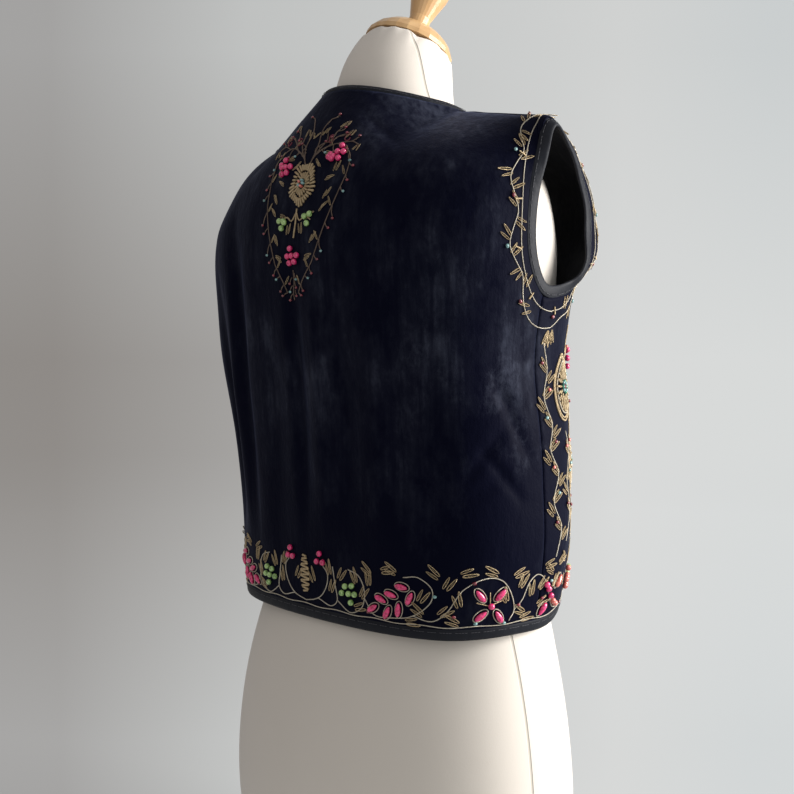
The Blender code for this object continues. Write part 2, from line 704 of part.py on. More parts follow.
def build_bindings(grids, satin):
    for side, name in ((1, "left"), (-1, "right")):
        loops = []
        for back, front in zip(grids["back"], grids["front_" + name]):
            rear = armhole_edge(back, side, 0)
            fore = armhole_edge(front, 1, FRONT_UNDERARM_COLUMNS)
            loops.append(rear + fore[-2:0:-1])
        hole = np.mean(loops[0], axis=0)
        strip("armhole_binding_" + name, *loops, lambda p, hole=hole: hole - p, satin)

    neck = slice(SHOULDER_COLUMNS, SHOULDER_COLUMNS + 2 * NECK_COLUMNS + 1)
    loops = []
    for right, middle, left in zip(grids["front_right"], grids["back"], grids["front_left"]):
        hem = list(right[0]) + list(middle[0, 1:-1]) + list(left[0, ::-1])
        neckline = list(left[1:, 0]) + list(middle[-1, neck][-2:0:-1]) + list(right[:0:-1, 0])
        loops.append(hem + neckline)
    strip("edge_binding", *loops, beyond_the_edge, satin)


def beyond_the_edge(path):
    """Each point's way off the cloth: down from the hem, to the open front, into the neck."""
    way = np.array([0.0, 0.0, 0.72]) - path
    high = path[:, 2] > 0.6
    across = np.abs(np.roll(path, -1, axis=0) - np.roll(path, 1, axis=0))
    hem = (across[:, 2] < across[:, 0] + across[:, 1]) & ~high
    front_edge = ~high & ~hem
    way[hem] = (0, 0, -1)
    way[front_edge] = path[front_edge] * [-1, 0, 0]
    return way


def form_ring(ring):
    centre = (ring.back_y + ring.front_y) / 2
    depth = (ring.back_y - ring.front_y) / 2
    points = []
    for k in range(FORM_SEGMENTS):
        angle = 2 * pi * k / FORM_SEGMENTS
        c, s = cos(angle), sin(angle)
        x = ring.half_width * np.sign(c) * abs(c) ** (2 / FORM_FULLNESS)
        y = depth * np.sign(s) * abs(s) ** (2 / FORM_FULLNESS)
        z = ring.height + tan(radians(ring.tilt)) * y + ring.lift * max(-0.1, min(0.1, x))
        points.append((x, centre + y, z))
    return points


def build_torso(cover):
    points = [p for ring in FORM_RINGS for p in form_ring(ring)]
    count = FORM_SEGMENTS
    faces = [tuple(range(count - 1, -1, -1))]
    for j in range(len(FORM_RINGS) - 1):
        for i in range(count):
            k = (i + 1) % count
            faces.append((j * count + i, j * count + k, (j + 1) * count + k, (j + 1) * count + i))
    faces.append(tuple((len(FORM_RINGS) - 1) * count + i for i in range(count)))
    return add_object("form_torso", points, faces, cover)


def turned(name, profile, start, finish):
    """A turned piece on the neck's leaning axis, start above the neck's top face."""
    points = []
    for height, radius in profile:
        for k in range(TURNED_SEGMENTS):
            angle = 2 * pi * k / TURNED_SEGMENTS
            points.append((radius * cos(angle), radius * sin(angle), height))
    count = TURNED_SEGMENTS
    faces = [tuple(range(count - 1, -1, -1))]
    for j in range(len(profile) - 1):
        for i in range(count):
            k = (i + 1) % count
            faces.append((j * count + i, j * count + k, (j + 1) * count + k, (j + 1) * count + i))
    faces.append(tuple((len(profile) - 1) * count + i for i in range(count)))
    lean = Matrix.Rotation(NECK_TILT, 3, "X")
    placed = [Vector(NECK_TOP) + lean @ (Vector(p) + Vector((0, 0, start))) for p in points]
    return add_object(name, placed, faces, finish)


def centre_over_base():
    """Moves everything so that the origin is under the middle of the whole part."""
    bpy.context.view_layer.update()
    shown = [o for o in bpy.context.scene.objects if not o.hide_render]
    corners = np.array([o.matrix_world @ v.co for o in shown for v in o.data.vertices])
    middle = (corners.min(axis=0) + corners.max(axis=0)) / 2
    for item in bpy.context.scene.objects:
        item.data.transform(Matrix.Translation((-middle[0], -middle[1], 0)))
    print("moved by", -middle[0], -middle[1])


def main():
    clear_scene()
    velvet = material("velvet", VELVET_COLOUR, 0.75)
    satin = material("satin", SATIN_COLOUR, 0.40)
    cover = material("form_cover", FORM_COLOUR, 0.85)
    wood = material("wood", WOOD_COLOUR, 0.35)
    grids = build_panels(velvet, satin)
    build_bindings(grids, satin)
    build_torso(cover)
    turned("form_neck_cap", CAP_PROFILE, SEAM_GAP, wood)
    turned("form_finial", FINIAL_PROFILE, CAP_PROFILE[-1][0] + 2 * SEAM_GAP, wood)
    centre_over_base()


main()
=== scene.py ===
from math import cos, pi, radians, sin

import bmesh
import bpy
import numpy as np
from mathutils import Matrix, Vector
from mathutils.bvhtree import BVHTree


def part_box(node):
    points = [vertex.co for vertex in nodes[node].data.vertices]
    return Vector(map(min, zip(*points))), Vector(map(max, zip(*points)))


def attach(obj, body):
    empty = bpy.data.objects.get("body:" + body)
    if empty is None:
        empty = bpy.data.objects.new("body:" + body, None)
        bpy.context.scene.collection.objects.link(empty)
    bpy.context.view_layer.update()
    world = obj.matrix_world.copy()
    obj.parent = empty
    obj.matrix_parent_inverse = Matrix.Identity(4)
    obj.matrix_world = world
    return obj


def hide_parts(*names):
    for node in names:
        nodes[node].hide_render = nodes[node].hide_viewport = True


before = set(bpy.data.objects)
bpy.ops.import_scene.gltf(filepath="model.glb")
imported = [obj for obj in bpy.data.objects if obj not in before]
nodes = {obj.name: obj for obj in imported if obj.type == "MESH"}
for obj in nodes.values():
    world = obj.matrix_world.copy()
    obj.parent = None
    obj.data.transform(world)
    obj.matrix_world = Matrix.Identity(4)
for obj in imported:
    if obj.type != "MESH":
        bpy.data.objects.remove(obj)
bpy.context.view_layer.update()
millimetre = 0.001

# Sizes in metres, in the frame of the part: +Z up, the wearer's back towards +Y and left side towards +X.
# u is the distance round the body from the centre back, towards the wearer's right where it is positive.
# v is the distance up the cloth from the hem, and w the distance down it from the nape.
cloth = {
    "velvetWall": 0.0015,
    "liningWall": 0.0010,
    "layerGap": 0.0003,
    "heartHeight": 0.40,  # a place inside the body, from where each panel's inner side is found
    "seamReach": 0.0008,  # edges this near to each other are sewn together
    "rimAngle": radians(35),  # a sharper turn than this ends a wall's inner side
    "notchAngle": radians(262),
    "fineness": 3,
    "seamGroove": 0.0009,
    "liningReach": 0.0045,
}


# Shared helpers

def linked(name, mesh):
    made = bpy.data.objects.new(name, mesh)
    bpy.context.scene.collection.objects.link(made)
    return made


def addMesh(name, points, faces, finish):
    mesh = bpy.data.meshes.new(name)
    mesh.from_pydata([tuple(p) for p in points], [], faces)
    mesh.update()
    mesh.polygons.foreach_set("use_smooth", [True] * len(mesh.polygons))
    mesh.materials.append(finish)
    return linked(name, mesh)


def applied(source):
    # Swaps an object's mesh for what its modifiers make of it.
    graph = bpy.context.evaluated_depsgraph_get()
    mesh = bpy.data.meshes.new_from_object(source.evaluated_get(graph))
    source.modifiers.clear()
    source.data = mesh
    return source


def refined(source, levels):
    finer = source.modifiers.new("finer", "SUBSURF")
    finer.levels = finer.render_levels = levels
    finer.boundary_smooth = "PRESERVE_CORNERS"
    return applied(source)


def welded(nodeName):
    # A solid of the part, its shared points joined.
    shape = bmesh.new()
    shape.from_mesh(nodes[nodeName].data)
    bmesh.ops.remove_doubles(shape, verts=shape.verts, dist=1e-6)
    return shape


def meshFrom(shape, name):
    mesh = bpy.data.meshes.new(name)
    shape.to_mesh(mesh)
    shape.free()
    return mesh


def unit(vectors):
    length = np.linalg.norm(vectors, axis=-1, keepdims=True)
    return vectors / np.maximum(length, 1e-12)


def smoothed(values, passes):
    # Values round a closed loop, each drawn towards its neighbours.
    for _ in range(passes):
        values = (np.roll(values, 1, axis=0) + 2 * values + np.roll(values, -1, axis=0)) / 4
    return values


def runLengths(points):
    # Distances along a line of points, from its first.
    return np.concatenate([[0], np.cumsum(np.linalg.norm(np.diff(points, axis=0), axis=1))])


def interpolated(wanted, along, points):
    return np.stack([np.interp(wanted, along, points[:, axis]) for axis in range(3)], axis=-1)


def ringFaces(rings, sides, closed=False, capped=False, base=0):
    # Quads between neighbouring rings of points.
    faces = []
    for k in range(rings if closed else rings - 1):
        a, b = base + k * sides, base + (k + 1) % rings * sides
        for j in range(sides):
            n = (j + 1) % sides
            faces.append((a + j, a + n, b + n, b + j))
    if capped:
        last = base + (rings - 1) * sides
        faces += [tuple(base + j for j in reversed(range(sides))), tuple(last + j for j in range(sides))]
    return faces


# The vest's smooth surface, from the plain inner sides of its three panels

def innerSheet(nodeName):
    # The faces that a ray from inside meets first, and all that join them without a sharp edge.
    sheet = welded(nodeName)
    bmesh.ops.triangulate(sheet, faces=sheet.faces)
    sheet.normal_update()
    sheet.faces.ensure_lookup_table()
    low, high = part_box(nodeName)
    heart = Vector((0, 0, cloth["heartHeight"]))
    aim = (Vector(low) + Vector(high)) / 2 - heart
    first = BVHTree.FromBMesh(sheet).ray_cast(heart, Vector((aim.x, aim.y, 0)))[2]
    found = {sheet.faces[first]}
    queue = list(found)
    while queue:
        face = queue.pop()
        for edge in face.edges:
            if len(edge.link_faces) == 2 and edge.calc_face_angle() < cloth["rimAngle"]:
                fresh = [other for other in edge.link_faces if other not in found]
                found.update(fresh)
                queue.extend(fresh)
    rest = [face for face in sheet.faces if face not in found]
    bmesh.ops.delete(sheet, geom=rest, context="FACES")
    return sheet


def joinedSheets(names):
    # One open sheet, its faces numbered by panel in their material index.
    whole = bmesh.new()
    for number, name in enumerate(names):
        sheet = innerSheet(name)
        for face in sheet.faces:
            face.material_index = number
        part = meshFrom(sheet, "part")
        whole.from_mesh(part)
        bpy.data.meshes.remove(part)
    bmesh.ops.remove_doubles(whole, verts=whole.verts, dist=cloth["seamReach"])
    for corner in [v for v in whole.verts if v.is_boundary]:
        turn = sum(loop.calc_angle() for loop in corner.link_loops)
        if turn > cloth["notchAngle"]:
            notch = [edge.other_vert(corner) for edge in corner.link_edges if edge.is_boundary]
            whole.faces.new([corner] + notch).material_index = corner.link_faces[0].material_index
    bmesh.ops.recalc_face_normals(whole, faces=whole.faces)
    top = max(whole.faces, key=lambda face: face.calc_center_median().y)
    if top.normal.y < 0:
        bmesh.ops.reverse_faces(whole, faces=whole.faces)
    flat, shape = radians(70), radians(120)
    bmesh.ops.join_triangles(
        whole, faces=whole.faces, cmp_materials=True, angle_face_threshold=flat, angle_shape_threshold=shape
    )
    return meshFrom(whole, "sheet")


def subdivided(mesh, levels):
    made = refined(linked("subdivided", mesh.copy()), levels)
    result = made.data
    bpy.data.objects.remove(made)
    return result


def treeOf(points, faces):
    return BVHTree.FromPolygons([Vector(p) for p in points], faces)


def arrays(mesh):
    points = np.array([v.co[:] for v in mesh.vertices])
    normals = np.array([n.vector[:] for n in mesh.vertex_normals])
    faces = [tuple(f.vertices) for f in mesh.polygons]
    panel = np.array([f.material_index for f in mesh.polygons])
    return points, normals, faces, panel


def smoothVest():
    # The coarse corners are first moved out, so that smoothing doesn't draw the surface in.
    coarse = joinedSheets(["back_panel", "front_panel_left", "front_panel_right"])
    wanted = [vertex.co.copy() for vertex in coarse.vertices]
    for _ in range(2):
        points, _, faces, _ = arrays(subdivided(coarse, 2))
        tree = treeOf(points, faces)
        for vertex, target in zip(coarse.vertices, wanted):
            vertex.co += target - tree.find_nearest(target)[0]
    return arrays(subdivided(coarse, cloth["fineness"]))


# Places on the vest, by distances on the cloth

chart = {
    "turns": 241,
    "reach": radians(168),
    "climb": 0.004,
    "step": 0.005,
    "lowest": 0.20,
    "highest": 0.72,
    "jump": 0.006,
    "tallest": 0.5,
}


def columnUp(tree, turn):
    # Points up the cloth at one direction from the body's axis, from the hem.
    heading = Vector((-sin(turn), cos(turn), 0))
    column = []
    height = chart["lowest"]
    fine = chart["climb"] / 16
    while height < chart["highest"]:
        hit = tree.ray_cast(Vector((0, 0, height)), heading)[0]
        if hit is None and column:
            break
        if hit is not None and not column:
            while tree.ray_cast(Vector((0, 0, height - fine)), heading)[0] is not None:
                height -= fine
            hit = tree.ray_cast(Vector((0, 0, height)), heading)[0]
        if hit is not None:
            column.append(np.array(hit))
        height += chart["climb"]
    return np.array(column)


def bodyChart(tree):
    # Rows of places at equal distances up from the hem, each with its distances from the centre back.
    turns = np.linspace(-chart["reach"], chart["reach"], chart["turns"])
    columns = [columnUp(tree, turn) for turn in turns]
    for order in (range(len(turns) // 2, len(turns)), range(len(turns) // 2, -1, -1)):
        last = None
        for k in order:
            if last is not None and (len(columns[k]) == 0 or abs(columns[k][0][2] - last) > chart["jump"]):
                columns[k] = []
                last = -1
            else:
                last = columns[k][0][2]
    rows = int(chart["tallest"] / chart["step"])
    table = np.full((rows, len(turns), 3), np.nan)
    for k, column in enumerate(columns):
        if len(column) < 3:
            continue
        climb = runLengths(column)
        levels = np.arange(rows) * chart["step"]
        known = levels <= climb[-1]
        table[known, k] = interpolated(levels[known], climb, column)
    middle = len(turns) // 2
    strips = []
    for row in table:
        low = high = middle
        while low > 0 and not np.isnan(row[low - 1, 0]):
            low -= 1
        while high < len(turns) - 1 and not np.isnan(row[high + 1, 0]):
            high += 1
        if np.isnan(row[middle, 0]):
            break
        run = row[low:high + 1]
        along = runLengths(run)
        strips.append((along - along[middle - low], run))
    return strips


class Surface:
    def __init__(self, points, faces):
        self.tree = treeOf(points, faces)

    def snap(self, place):
        spot, normal, _, _ = self.tree.find_nearest(Vector(place))
        return np.array(spot), np.array(normal)


def framed(surface, at, a, b):
    # Place, normal and the two directions on the cloth at chart position (a, b).
    reach = 0.0015
    spot, normal = surface.snap(at(a, b))
    across = np.array(surface.snap(at(a + reach, b))[0]) - surface.snap(at(a - reach, b))[0]
    across -= normal * np.dot(across, normal)
    across = unit(across)
    return spot, normal, across, np.cross(normal, across)


def bodyPlaces(strips):
    def at(u, v):
        row = min(max(v / chart["step"], 0), len(strips) - 1.001)
        low = int(row)
        share = row - low
        return interpolated(u, *strips[low]) * (1 - share) + interpolated(u, *strips[low + 1]) * share
    return at


def napePlaces(strips):
    top = (len(strips) - 1) * chart["step"]
    body = bodyPlaces(strips)

    def at(u, w):
        return body(u, top - w)
    return at


# Boundary loops of the vest: armholes and the edge round hem, fronts and neck

def boundaryLoops(faces):
    used = {}
    for face in faces:
        for k, a in enumerate(face):
            used[(a, face[(k + 1) % len(face)])] = True
    following = {a: b for a, b in used if (b, a) not in used}
    loops = []
    while following:
        start, here = following.popitem()
        loop = [start]
        while here != loop[0]:
            loop.append(here)
            here = following.pop(here)
        loops.append(loop)
    return sorted(loops, key=len)


def evenly(loop, spacing):
    # The closed loop's points at even spacing.
    closed = np.concatenate([loop, loop[:1]])
    along = runLengths(closed)
    count = max(8, int(round(along[-1] / spacing)))
    return interpolated(np.arange(count) * along[-1] / count, along, closed), along[-1]


def edgeFrames(loop, surface, passes):
    # Tangent, normal and the direction away from the cloth along a closed edge.
    tangent = unit(np.roll(loop, -1, axis=0) - np.roll(loop, 1, axis=0))
    normal = unit(smoothed(np.array([surface.snap(place)[1] for place in loop]), passes))
    normal = unit(normal - tangent * np.sum(normal * tangent, axis=1, keepdims=True))
    away = np.cross(tangent, normal)
    test = np.array([surface.snap(p + a * 0.004)[0] for p, a in zip(loop[::20], away[::20])])
    if np.mean(np.linalg.norm(test - loop[::20], axis=1)) > 0.002:
        away = -away
    return tangent, normal, unit(smoothed(away, 6))


# Materials

def newMaterial(name, colour, **settings):
    # Settings are the shader's inputs, their names written together: roughness, coatWeight and the like.
    finish = bpy.data.materials.new(name)
    finish.use_nodes = True
    shader = finish.node_tree.nodes["Principled BSDF"]
    shader.inputs["Base Color"].default_value = (*colour, 1)
    sockets = {socket.name.replace(" ", "").lower(): socket for socket in shader.inputs}
    for setting, value in settings.items():
        sockets[setting.lower()].default_value = value
    return finish, finish.node_tree, shader


def painted(tree, shader, colour, normal=None):
    tree.links.new(colour, shader.inputs["Base Color"])
    if normal is not None:
        tree.links.new(normal, shader.inputs["Normal"])


def node(tree, kind, **values):
    made = tree.nodes.new(kind)
    for name, value in values.items():
        if name in made.inputs:
            made.inputs[name].default_value = value
        else:
            setattr(made, name, value)
    return made


def placeCoords(tree):
    return tree.nodes.new("ShaderNodeTexCoord").outputs["Object"]


def scaled(tree, coords, scale):
    shift = node(tree, "ShaderNodeMapping")
    shift.inputs["Scale"].default_value = scale
    tree.links.new(coords, shift.inputs["Vector"])
    return shift.outputs["Vector"]


def noise(tree, coords, scale, detail=3.0, rough=0.55, stretch=(1, 1, 1)):
    made = node(tree, "ShaderNodeTexNoise", Scale=scale, Detail=detail, Roughness=rough)
    tree.links.new(scaled(tree, coords, stretch), made.inputs["Vector"])
    return made.outputs["Fac"]


def ramp(tree, value, stops):
    made = tree.nodes.new("ShaderNodeValToRGB")
    points = made.color_ramp.elements
    while len(points) < len(stops):
        points.new(0.5)
    for point, (place, colour) in zip(points, stops):
        point.position = place
        point.color = (*colour, 1) if len(colour) == 3 else colour
    tree.links.new(value, made.inputs["Fac"])
    return made.outputs["Color"]


def maths(tree, how, a, b=0.5, clamp=False):
    made = node(tree, "ShaderNodeMath", operation=how, use_clamp=clamp)
    for place, value in enumerate((a, b)):
        if isinstance(value, (int, float)):
            made.inputs[place].default_value = value
        else:
            tree.links.new(value, made.inputs[place])
    return made.outputs[0]


def bump(tree, height, distance, strength=1.0, under=None):
    made = node(tree, "ShaderNodeBump", Strength=strength, Distance=distance)
    tree.links.new(height, made.inputs["Height"])
    if under is not None:
        tree.links.new(under, made.inputs["Normal"])
    return made.outputs["Normal"]


def mixed(tree, share, a, b):
    made = node(tree, "ShaderNodeMix", data_type="RGBA")
    colours = [socket for socket in made.inputs if socket.type == "RGBA"]
    if isinstance(share, (int, float)):
        made.inputs[0].default_value = share
    else:
        tree.links.new(share, made.inputs[0])
    for socket, value in zip(colours, (a, b)):
        if isinstance(value, tuple):
            socket.default_value = (*value, 1)
        else:
            tree.links.new(value, socket)
    return [socket for socket in made.outputs if socket.type == "RGBA"][0]


def nearness(tree, coords, place, reach):
    # 1 at a place, falling to 0 at the reach.
    gap = node(tree, "ShaderNodeVectorMath", operation="DISTANCE")
    tree.links.new(coords, gap.inputs[0])
    gap.inputs[1].default_value = place
    return maths(tree, "SUBTRACT", 1.0, maths(tree, "DIVIDE", gap.outputs["Value"], reach), True)


# Dark velvet. Its lighter tone is partly real crushed pile, spread at random, and partly painted highlight.
# Each of the places is a painted highlight where light falls on the shoulder, the lit side and the back.
velvetLook = {
    "deep": (0.0016, 0.0020, 0.0086),
    "crushed": (0.0330, 0.0370, 0.0560),
    "places": [((-0.160, 0.078, 0.480), 0.120, 0.15), ((-0.183, 0.034, 0.448), 0.070, 0.16),
               ((-0.110, 0.030, 0.665), 0.100, 0.30), ((-0.020, 0.112, 0.450), 0.070, 0.13),
               ((0.055, 0.108, 0.430), 0.080, 0.13), ((-0.070, 0.110, 0.360), 0.080, 0.07)],
    # Spots by the creases on the side towards the window, which hold painted glints.
    "flecked": [((-0.181, 0.045, 0.455), 0.050), ((-0.186, 0.018, 0.405), 0.040),
                ((-0.150, 0.085, 0.470), 0.035)],
    "cloud": 13.0,
    "weave": 150.0,
    "pile": 900.0,
}


def velvetFinish():
    finish, tree, shader = newMaterial(
        "velvet", velvetLook["deep"], roughness=0.58, sheenWeight=0.09, sheenRoughness=0.34,
        sheenTint=(0.40, 0.48, 0.90, 1), specularIORLevel=0.03,
    )
    coords = placeCoords(tree)
    cloud = noise(tree, coords, velvetLook["cloud"], 7.0, 0.70, (1, 1, 0.6))
    weave = noise(tree, coords, velvetLook["weave"], 3.0, 0.6, (1, 1, 0.06))
    near = 0.0
    for place, reach, strength in velvetLook["places"]:
        here = maths(tree, "MULTIPLY", nearness(tree, coords, place, reach), strength)
        near = maths(tree, "MAXIMUM", near, here)
    # Random crushed pile, raised by the painted highlights at the places.
    crushAndHighlight = maths(tree, "ADD", cloud, near)
    patch = ramp(tree, crushAndHighlight, [(0.50, (0, 0, 0)), (0.61, (0.20,) * 3), (0.75, (1, 1, 1))])
    # Painted glints: fine bright flecks near the creases on the lit side.
    fine = noise(tree, coords, 42.0, 8.0, 0.72, (1, 1, 0.7))
    glintFlecks = ramp(tree, fine, [(0.53, (0, 0, 0)), (0.68, (0.9,) * 3)])
    spread = 0.0
    for place, reach in velvetLook["flecked"]:
        spread = maths(tree, "MAXIMUM", spread, nearness(tree, coords, place, reach))
    bright = maths(tree, "MULTIPLY", glintFlecks, spread)
    thread = ramp(tree, weave, [(0.36, (0.25,) * 3), (0.62, (1, 1, 1))])
    share = maths(tree, "ADD", maths(tree, "MULTIPLY", patch, thread), bright, True)
    pile = noise(tree, coords, velvetLook["pile"], 2.0, 0.5)
    soft = bump(tree, cloud, 0.0035, 0.7)
    woven = bump(tree, weave, 0.0006, 0.5, soft)
    tone = mixed(tree, share, velvetLook["deep"], velvetLook["crushed"])
    painted(tree, shader, tone, bump(tree, pile, 0.0002, 0.3, woven))
    return finish


def satinFinish():
    finish, tree, shader = newMaterial("satin", (0.008, 0.008, 0.011), roughness=0.56, specularIORLevel=0.18)
    coords = placeCoords(tree)
    wrinkle = noise(tree, coords, 90.0, 3.0, 0.5)
    thread = noise(tree, coords, 1500.0, 1.0, 0.5, (1, 1, 0.2))
    soft = bump(tree, wrinkle, 0.0012, 0.7)
    # The tone follows the noise that makes the wrinkle bump: darker in its hollows as painted shade, lighter
    # on its crests as painted sheen.
    tone = mixed(tree, wrinkle, (0.0035, 0.0042, 0.0075), (0.012, 0.0135, 0.020))
    painted(tree, shader, tone, bump(tree, thread, 0.0001, 0.4, soft))
    return finish


def coverFinish():
    # A fine knit drawn over the form, with a sewn seam down each side.
    finish, tree, shader = newMaterial("formCover", (0.70, 0.66, 0.59), roughness=0.85, sheenWeight=0.2)
    coords = placeCoords(tree)
    tone = noise(tree, coords, 6.0, 3.0, 0.5)
    plain = mixed(tree, tone, (0.63, 0.575, 0.515), (0.69, 0.635, 0.575))
    split = tree.nodes.new("ShaderNodeSeparateXYZ")
    tree.links.new(coords, split.inputs["Vector"])
    off = maths(tree, "ABSOLUTE", maths(tree, "SUBTRACT", split.outputs["Y"], 0.016))
    off = maths(tree, "MULTIPLY", off, 100.0)
    seam = ramp(tree, off, [(0.0, (0, 0, 0)), (0.07, (0, 0, 0)), (0.14, (1, 1, 1))])
    knit = node(tree, "ShaderNodeTexWave", Scale=420.0, Distortion=1.2, Detail=1.0, bands_direction="Z")
    tree.links.new(coords, knit.inputs["Vector"])
    rib = noise(tree, coords, 1300.0, 1.0, 0.5, (1, 1, 0.5))
    height = maths(tree, "ADD", knit.outputs["Fac"], rib)
    soft = bump(tree, seam, 0.0010, 0.8)
    sewnTone = mixed(tree, seam, (0.47, 0.43, 0.37), plain)
    painted(tree, shader, sewnTone, bump(tree, height, 0.00025, 0.35, soft))
    return finish


def woodFinish():
    finish, tree, shader = newMaterial(
        "wood", (0.62, 0.38, 0.18), roughness=0.32, coatWeight=0.12, coatRoughness=0.15
    )
    coords = placeCoords(tree)
    grain = node(tree, "ShaderNodeTexWave", Scale=26.0, Distortion=5.0, Detail=3.0, bands_direction="X")
    tree.links.new(scaled(tree, coords, (1, 1, 0.18)), grain.inputs["Vector"])
    fine = noise(tree, coords, 220.0, 3.0, 0.6, (1, 1, 0.06))
    both = maths(tree, "MULTIPLY", grain.outputs["Fac"], fine)
    tone = mixed(tree, both, (0.60, 0.38, 0.18), (0.46, 0.26, 0.11))
    painted(tree, shader, tone, bump(tree, fine, 0.0002, 0.25))
    return finish


def plainFinish(name, rough, colour):
    finish, tree, shader = newMaterial(name, colour, roughness=rough)
    dim = tuple(0.93 * c for c in colour)
    painted(tree, shader, mixed(tree, noise(tree, placeCoords(tree), 30.0, 2.0), dim, colour))
    return finish


velvet, satin, cover, wood = velvetFinish(), satinFinish(), coverFinish(), woodFinish()


# Building the vest

def shell(name, points, normals, faces, depth, finish):
    # A closed thin sheet from an open one, from its points inwards by depth.
    used = sorted({k for face in faces for k in face})
    number = {k: n for n, k in enumerate(used)}
    both = np.concatenate([points[used], points[used] - normals[used] * depth])
    below = len(used)
    closed = []
    edges = set()
    for face in faces:
        here = [number[k] for k in face]
        closed.append(tuple(here))
        closed.append(tuple(below + k for k in reversed(here)))
        edges.update(zip(here, here[1:] + here[:1]))
    for a, b in edges:
        if (b, a) not in edges:
            closed.append((b, a, below + a, below + b))
    return addMesh(name, both, closed, finish)


inner, innerNormals, sheetFaces, panelOf = smoothVest()
plainOuter = inner + innerNormals * cloth["velvetWall"]
strips = bodyChart(treeOf(inner, sheetFaces))
onPlain = Surface(plainOuter, sheetFaces)
bodyAt, napeAt = bodyPlaces(strips), napePlaces(strips)
print("vest surface:", len(inner), "points; chart rows", len(strips))

# Troughs that the cloth hangs in, each from u, v to u, v, with its half width and depth.
# A negative depth is a soft ridge.
troughs = [
    (-0.094, 0.330, -0.084, 0.050, 0.010, 0.0055),
    (-0.140, 0.300, -0.128, 0.040, 0.012, 0.0045),
    (-0.112, 0.310, -0.104, 0.060, 0.008, -0.0022),
    (-0.050, 0.250, -0.046, 0.070, 0.012, -0.0018),
    (0.006, 0.300, 0.002, 0.060, 0.010, 0.0048),
    (0.030, 0.270, 0.026, 0.070, 0.008, -0.0020),
    (0.066, 0.280, 0.058, 0.080, 0.014, 0.0028),
    (0.120, 0.240, 0.110, 0.060, 0.016, 0.0026),
    (0.168, 0.118, 0.212, 0.168, 0.0045, 0.0026),
    (0.160, 0.098, 0.206, 0.124, 0.0040, 0.0022),
    (0.190, 0.190, 0.226, 0.176, 0.0040, 0.0022),
    (0.196, 0.210, 0.228, 0.130, 0.0055, 0.0030),
    (0.182, 0.150, 0.222, 0.098, 0.0045, 0.0022),
    (0.030, 0.420, 0.078, 0.378, 0.005, 0.0016),
    (0.045, 0.435, 0.105, 0.398, 0.005, 0.0013),
    (0.020, 0.410, 0.048, 0.385, 0.004, 0.0018),
    (-0.030, 0.420, -0.090, 0.385, 0.008, 0.0022),
    (-0.200, 0.190, -0.225, 0.110, 0.008, 0.0025),
]


def segmentDistance(points, start, end):
    along = end - start
    share = np.clip((points - start) @ along / np.dot(along, along), 0, 1)
    return np.linalg.norm(points - (start + share[:, None] * along), axis=1), share


def creased(points, normals):
    # The surface with its troughs pushed in, each fading to its ends.
    pushed = points.copy()
    for startU, startV, endU, endV, width, depth in troughs:
        places = zip(np.linspace(startU, endU, 9), np.linspace(startV, endV, 9))
        line = [onPlain.snap(bodyAt(u, v))[0] for u, v in places]
        nearest = np.full(len(points), 9.0)
        place = np.zeros(len(points))
        for k in range(len(line) - 1):
            distance, share = segmentDistance(points, line[k], line[k + 1])
            closer = distance < nearest
            nearest[closer] = distance[closer]
            place[closer] = (k + share[closer]) / (len(line) - 1)
        fade = np.clip(np.sin(pi * np.clip(place, 0.02, 0.98)), 0, 1) ** 0.7
        push = depth * fade * np.exp(-((nearest / width) ** 2))
        pushed -= normals * push[:, None]
    return pushed


def vertexNormals(points, faces):
    quads = np.array([face if len(face) == 4 else (*face, face[0]) for face in faces])
    turned = np.cross(points[quads[:, 2]] - points[quads[:, 0]], points[quads[:, 3]] - points[quads[:, 1]])
    normals = np.zeros_like(points)
    for corner in range(4):
        np.add.at(normals, quads[:, corner], turned)
    return unit(normals)


outer = creased(plainOuter, innerNormals)
outerNormals = vertexNormals(outer, sheetFaces)
if np.mean(np.sum(outerNormals * innerNormals, axis=1)) < 0:
    outerNormals = -outerNormals
inside = outer - outerNormals * cloth["velvetWall"]
vestSurface = Surface(outer, sheetFaces)


def seamPoints():
    # Points that two panels share.
    owners = {}
    for face, number in zip(sheetFaces, panelOf):
        for k in face:
            owners.setdefault(k, set()).add(int(number))
    return [k for k, panels in owners.items() if len(panels) > 1]


seams = seamPoints()
grooved = outer.copy()
grooved[seams] -= outerNormals[seams] * cloth["seamGroove"]
# Width, length and area that each panel, and the part of each lining that is built, were cut to
cuts = {
    "vestBack": (0.500, 0.470, 0.208),
    "vestFrontLeft": (0.230, 0.455, 0.083),
    "vestFrontRight": (0.230, 0.455, 0.081),
    "liningBack": (0.500, 0.230, 0.096),
    "liningFrontLeft": (0.230, 0.215, 0.034),
    "liningFrontRight": (0.230, 0.215, 0.033),
}
panelSolids = ["back_panel", "front_panel_left", "front_panel_right"]
liningSolids = ["lining_back", "lining_front_left", "lining_front_right"]


def clothPiece(name, solid, points, faces, wall, finish):
    piece = shell(name, points, outerNormals, faces, wall, finish)
    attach(piece, "root")
    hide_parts(solid)


def panelFaces(number):
    return [face for face, panel in zip(sheetFaces, panelOf) if panel == number]


def buildPanels():
    for number, (name, solid) in enumerate(zip(list(cuts)[:3], panelSolids)):
        clothPiece(name, solid, grooved, panelFaces(number), cloth["velvetWall"], velvet)


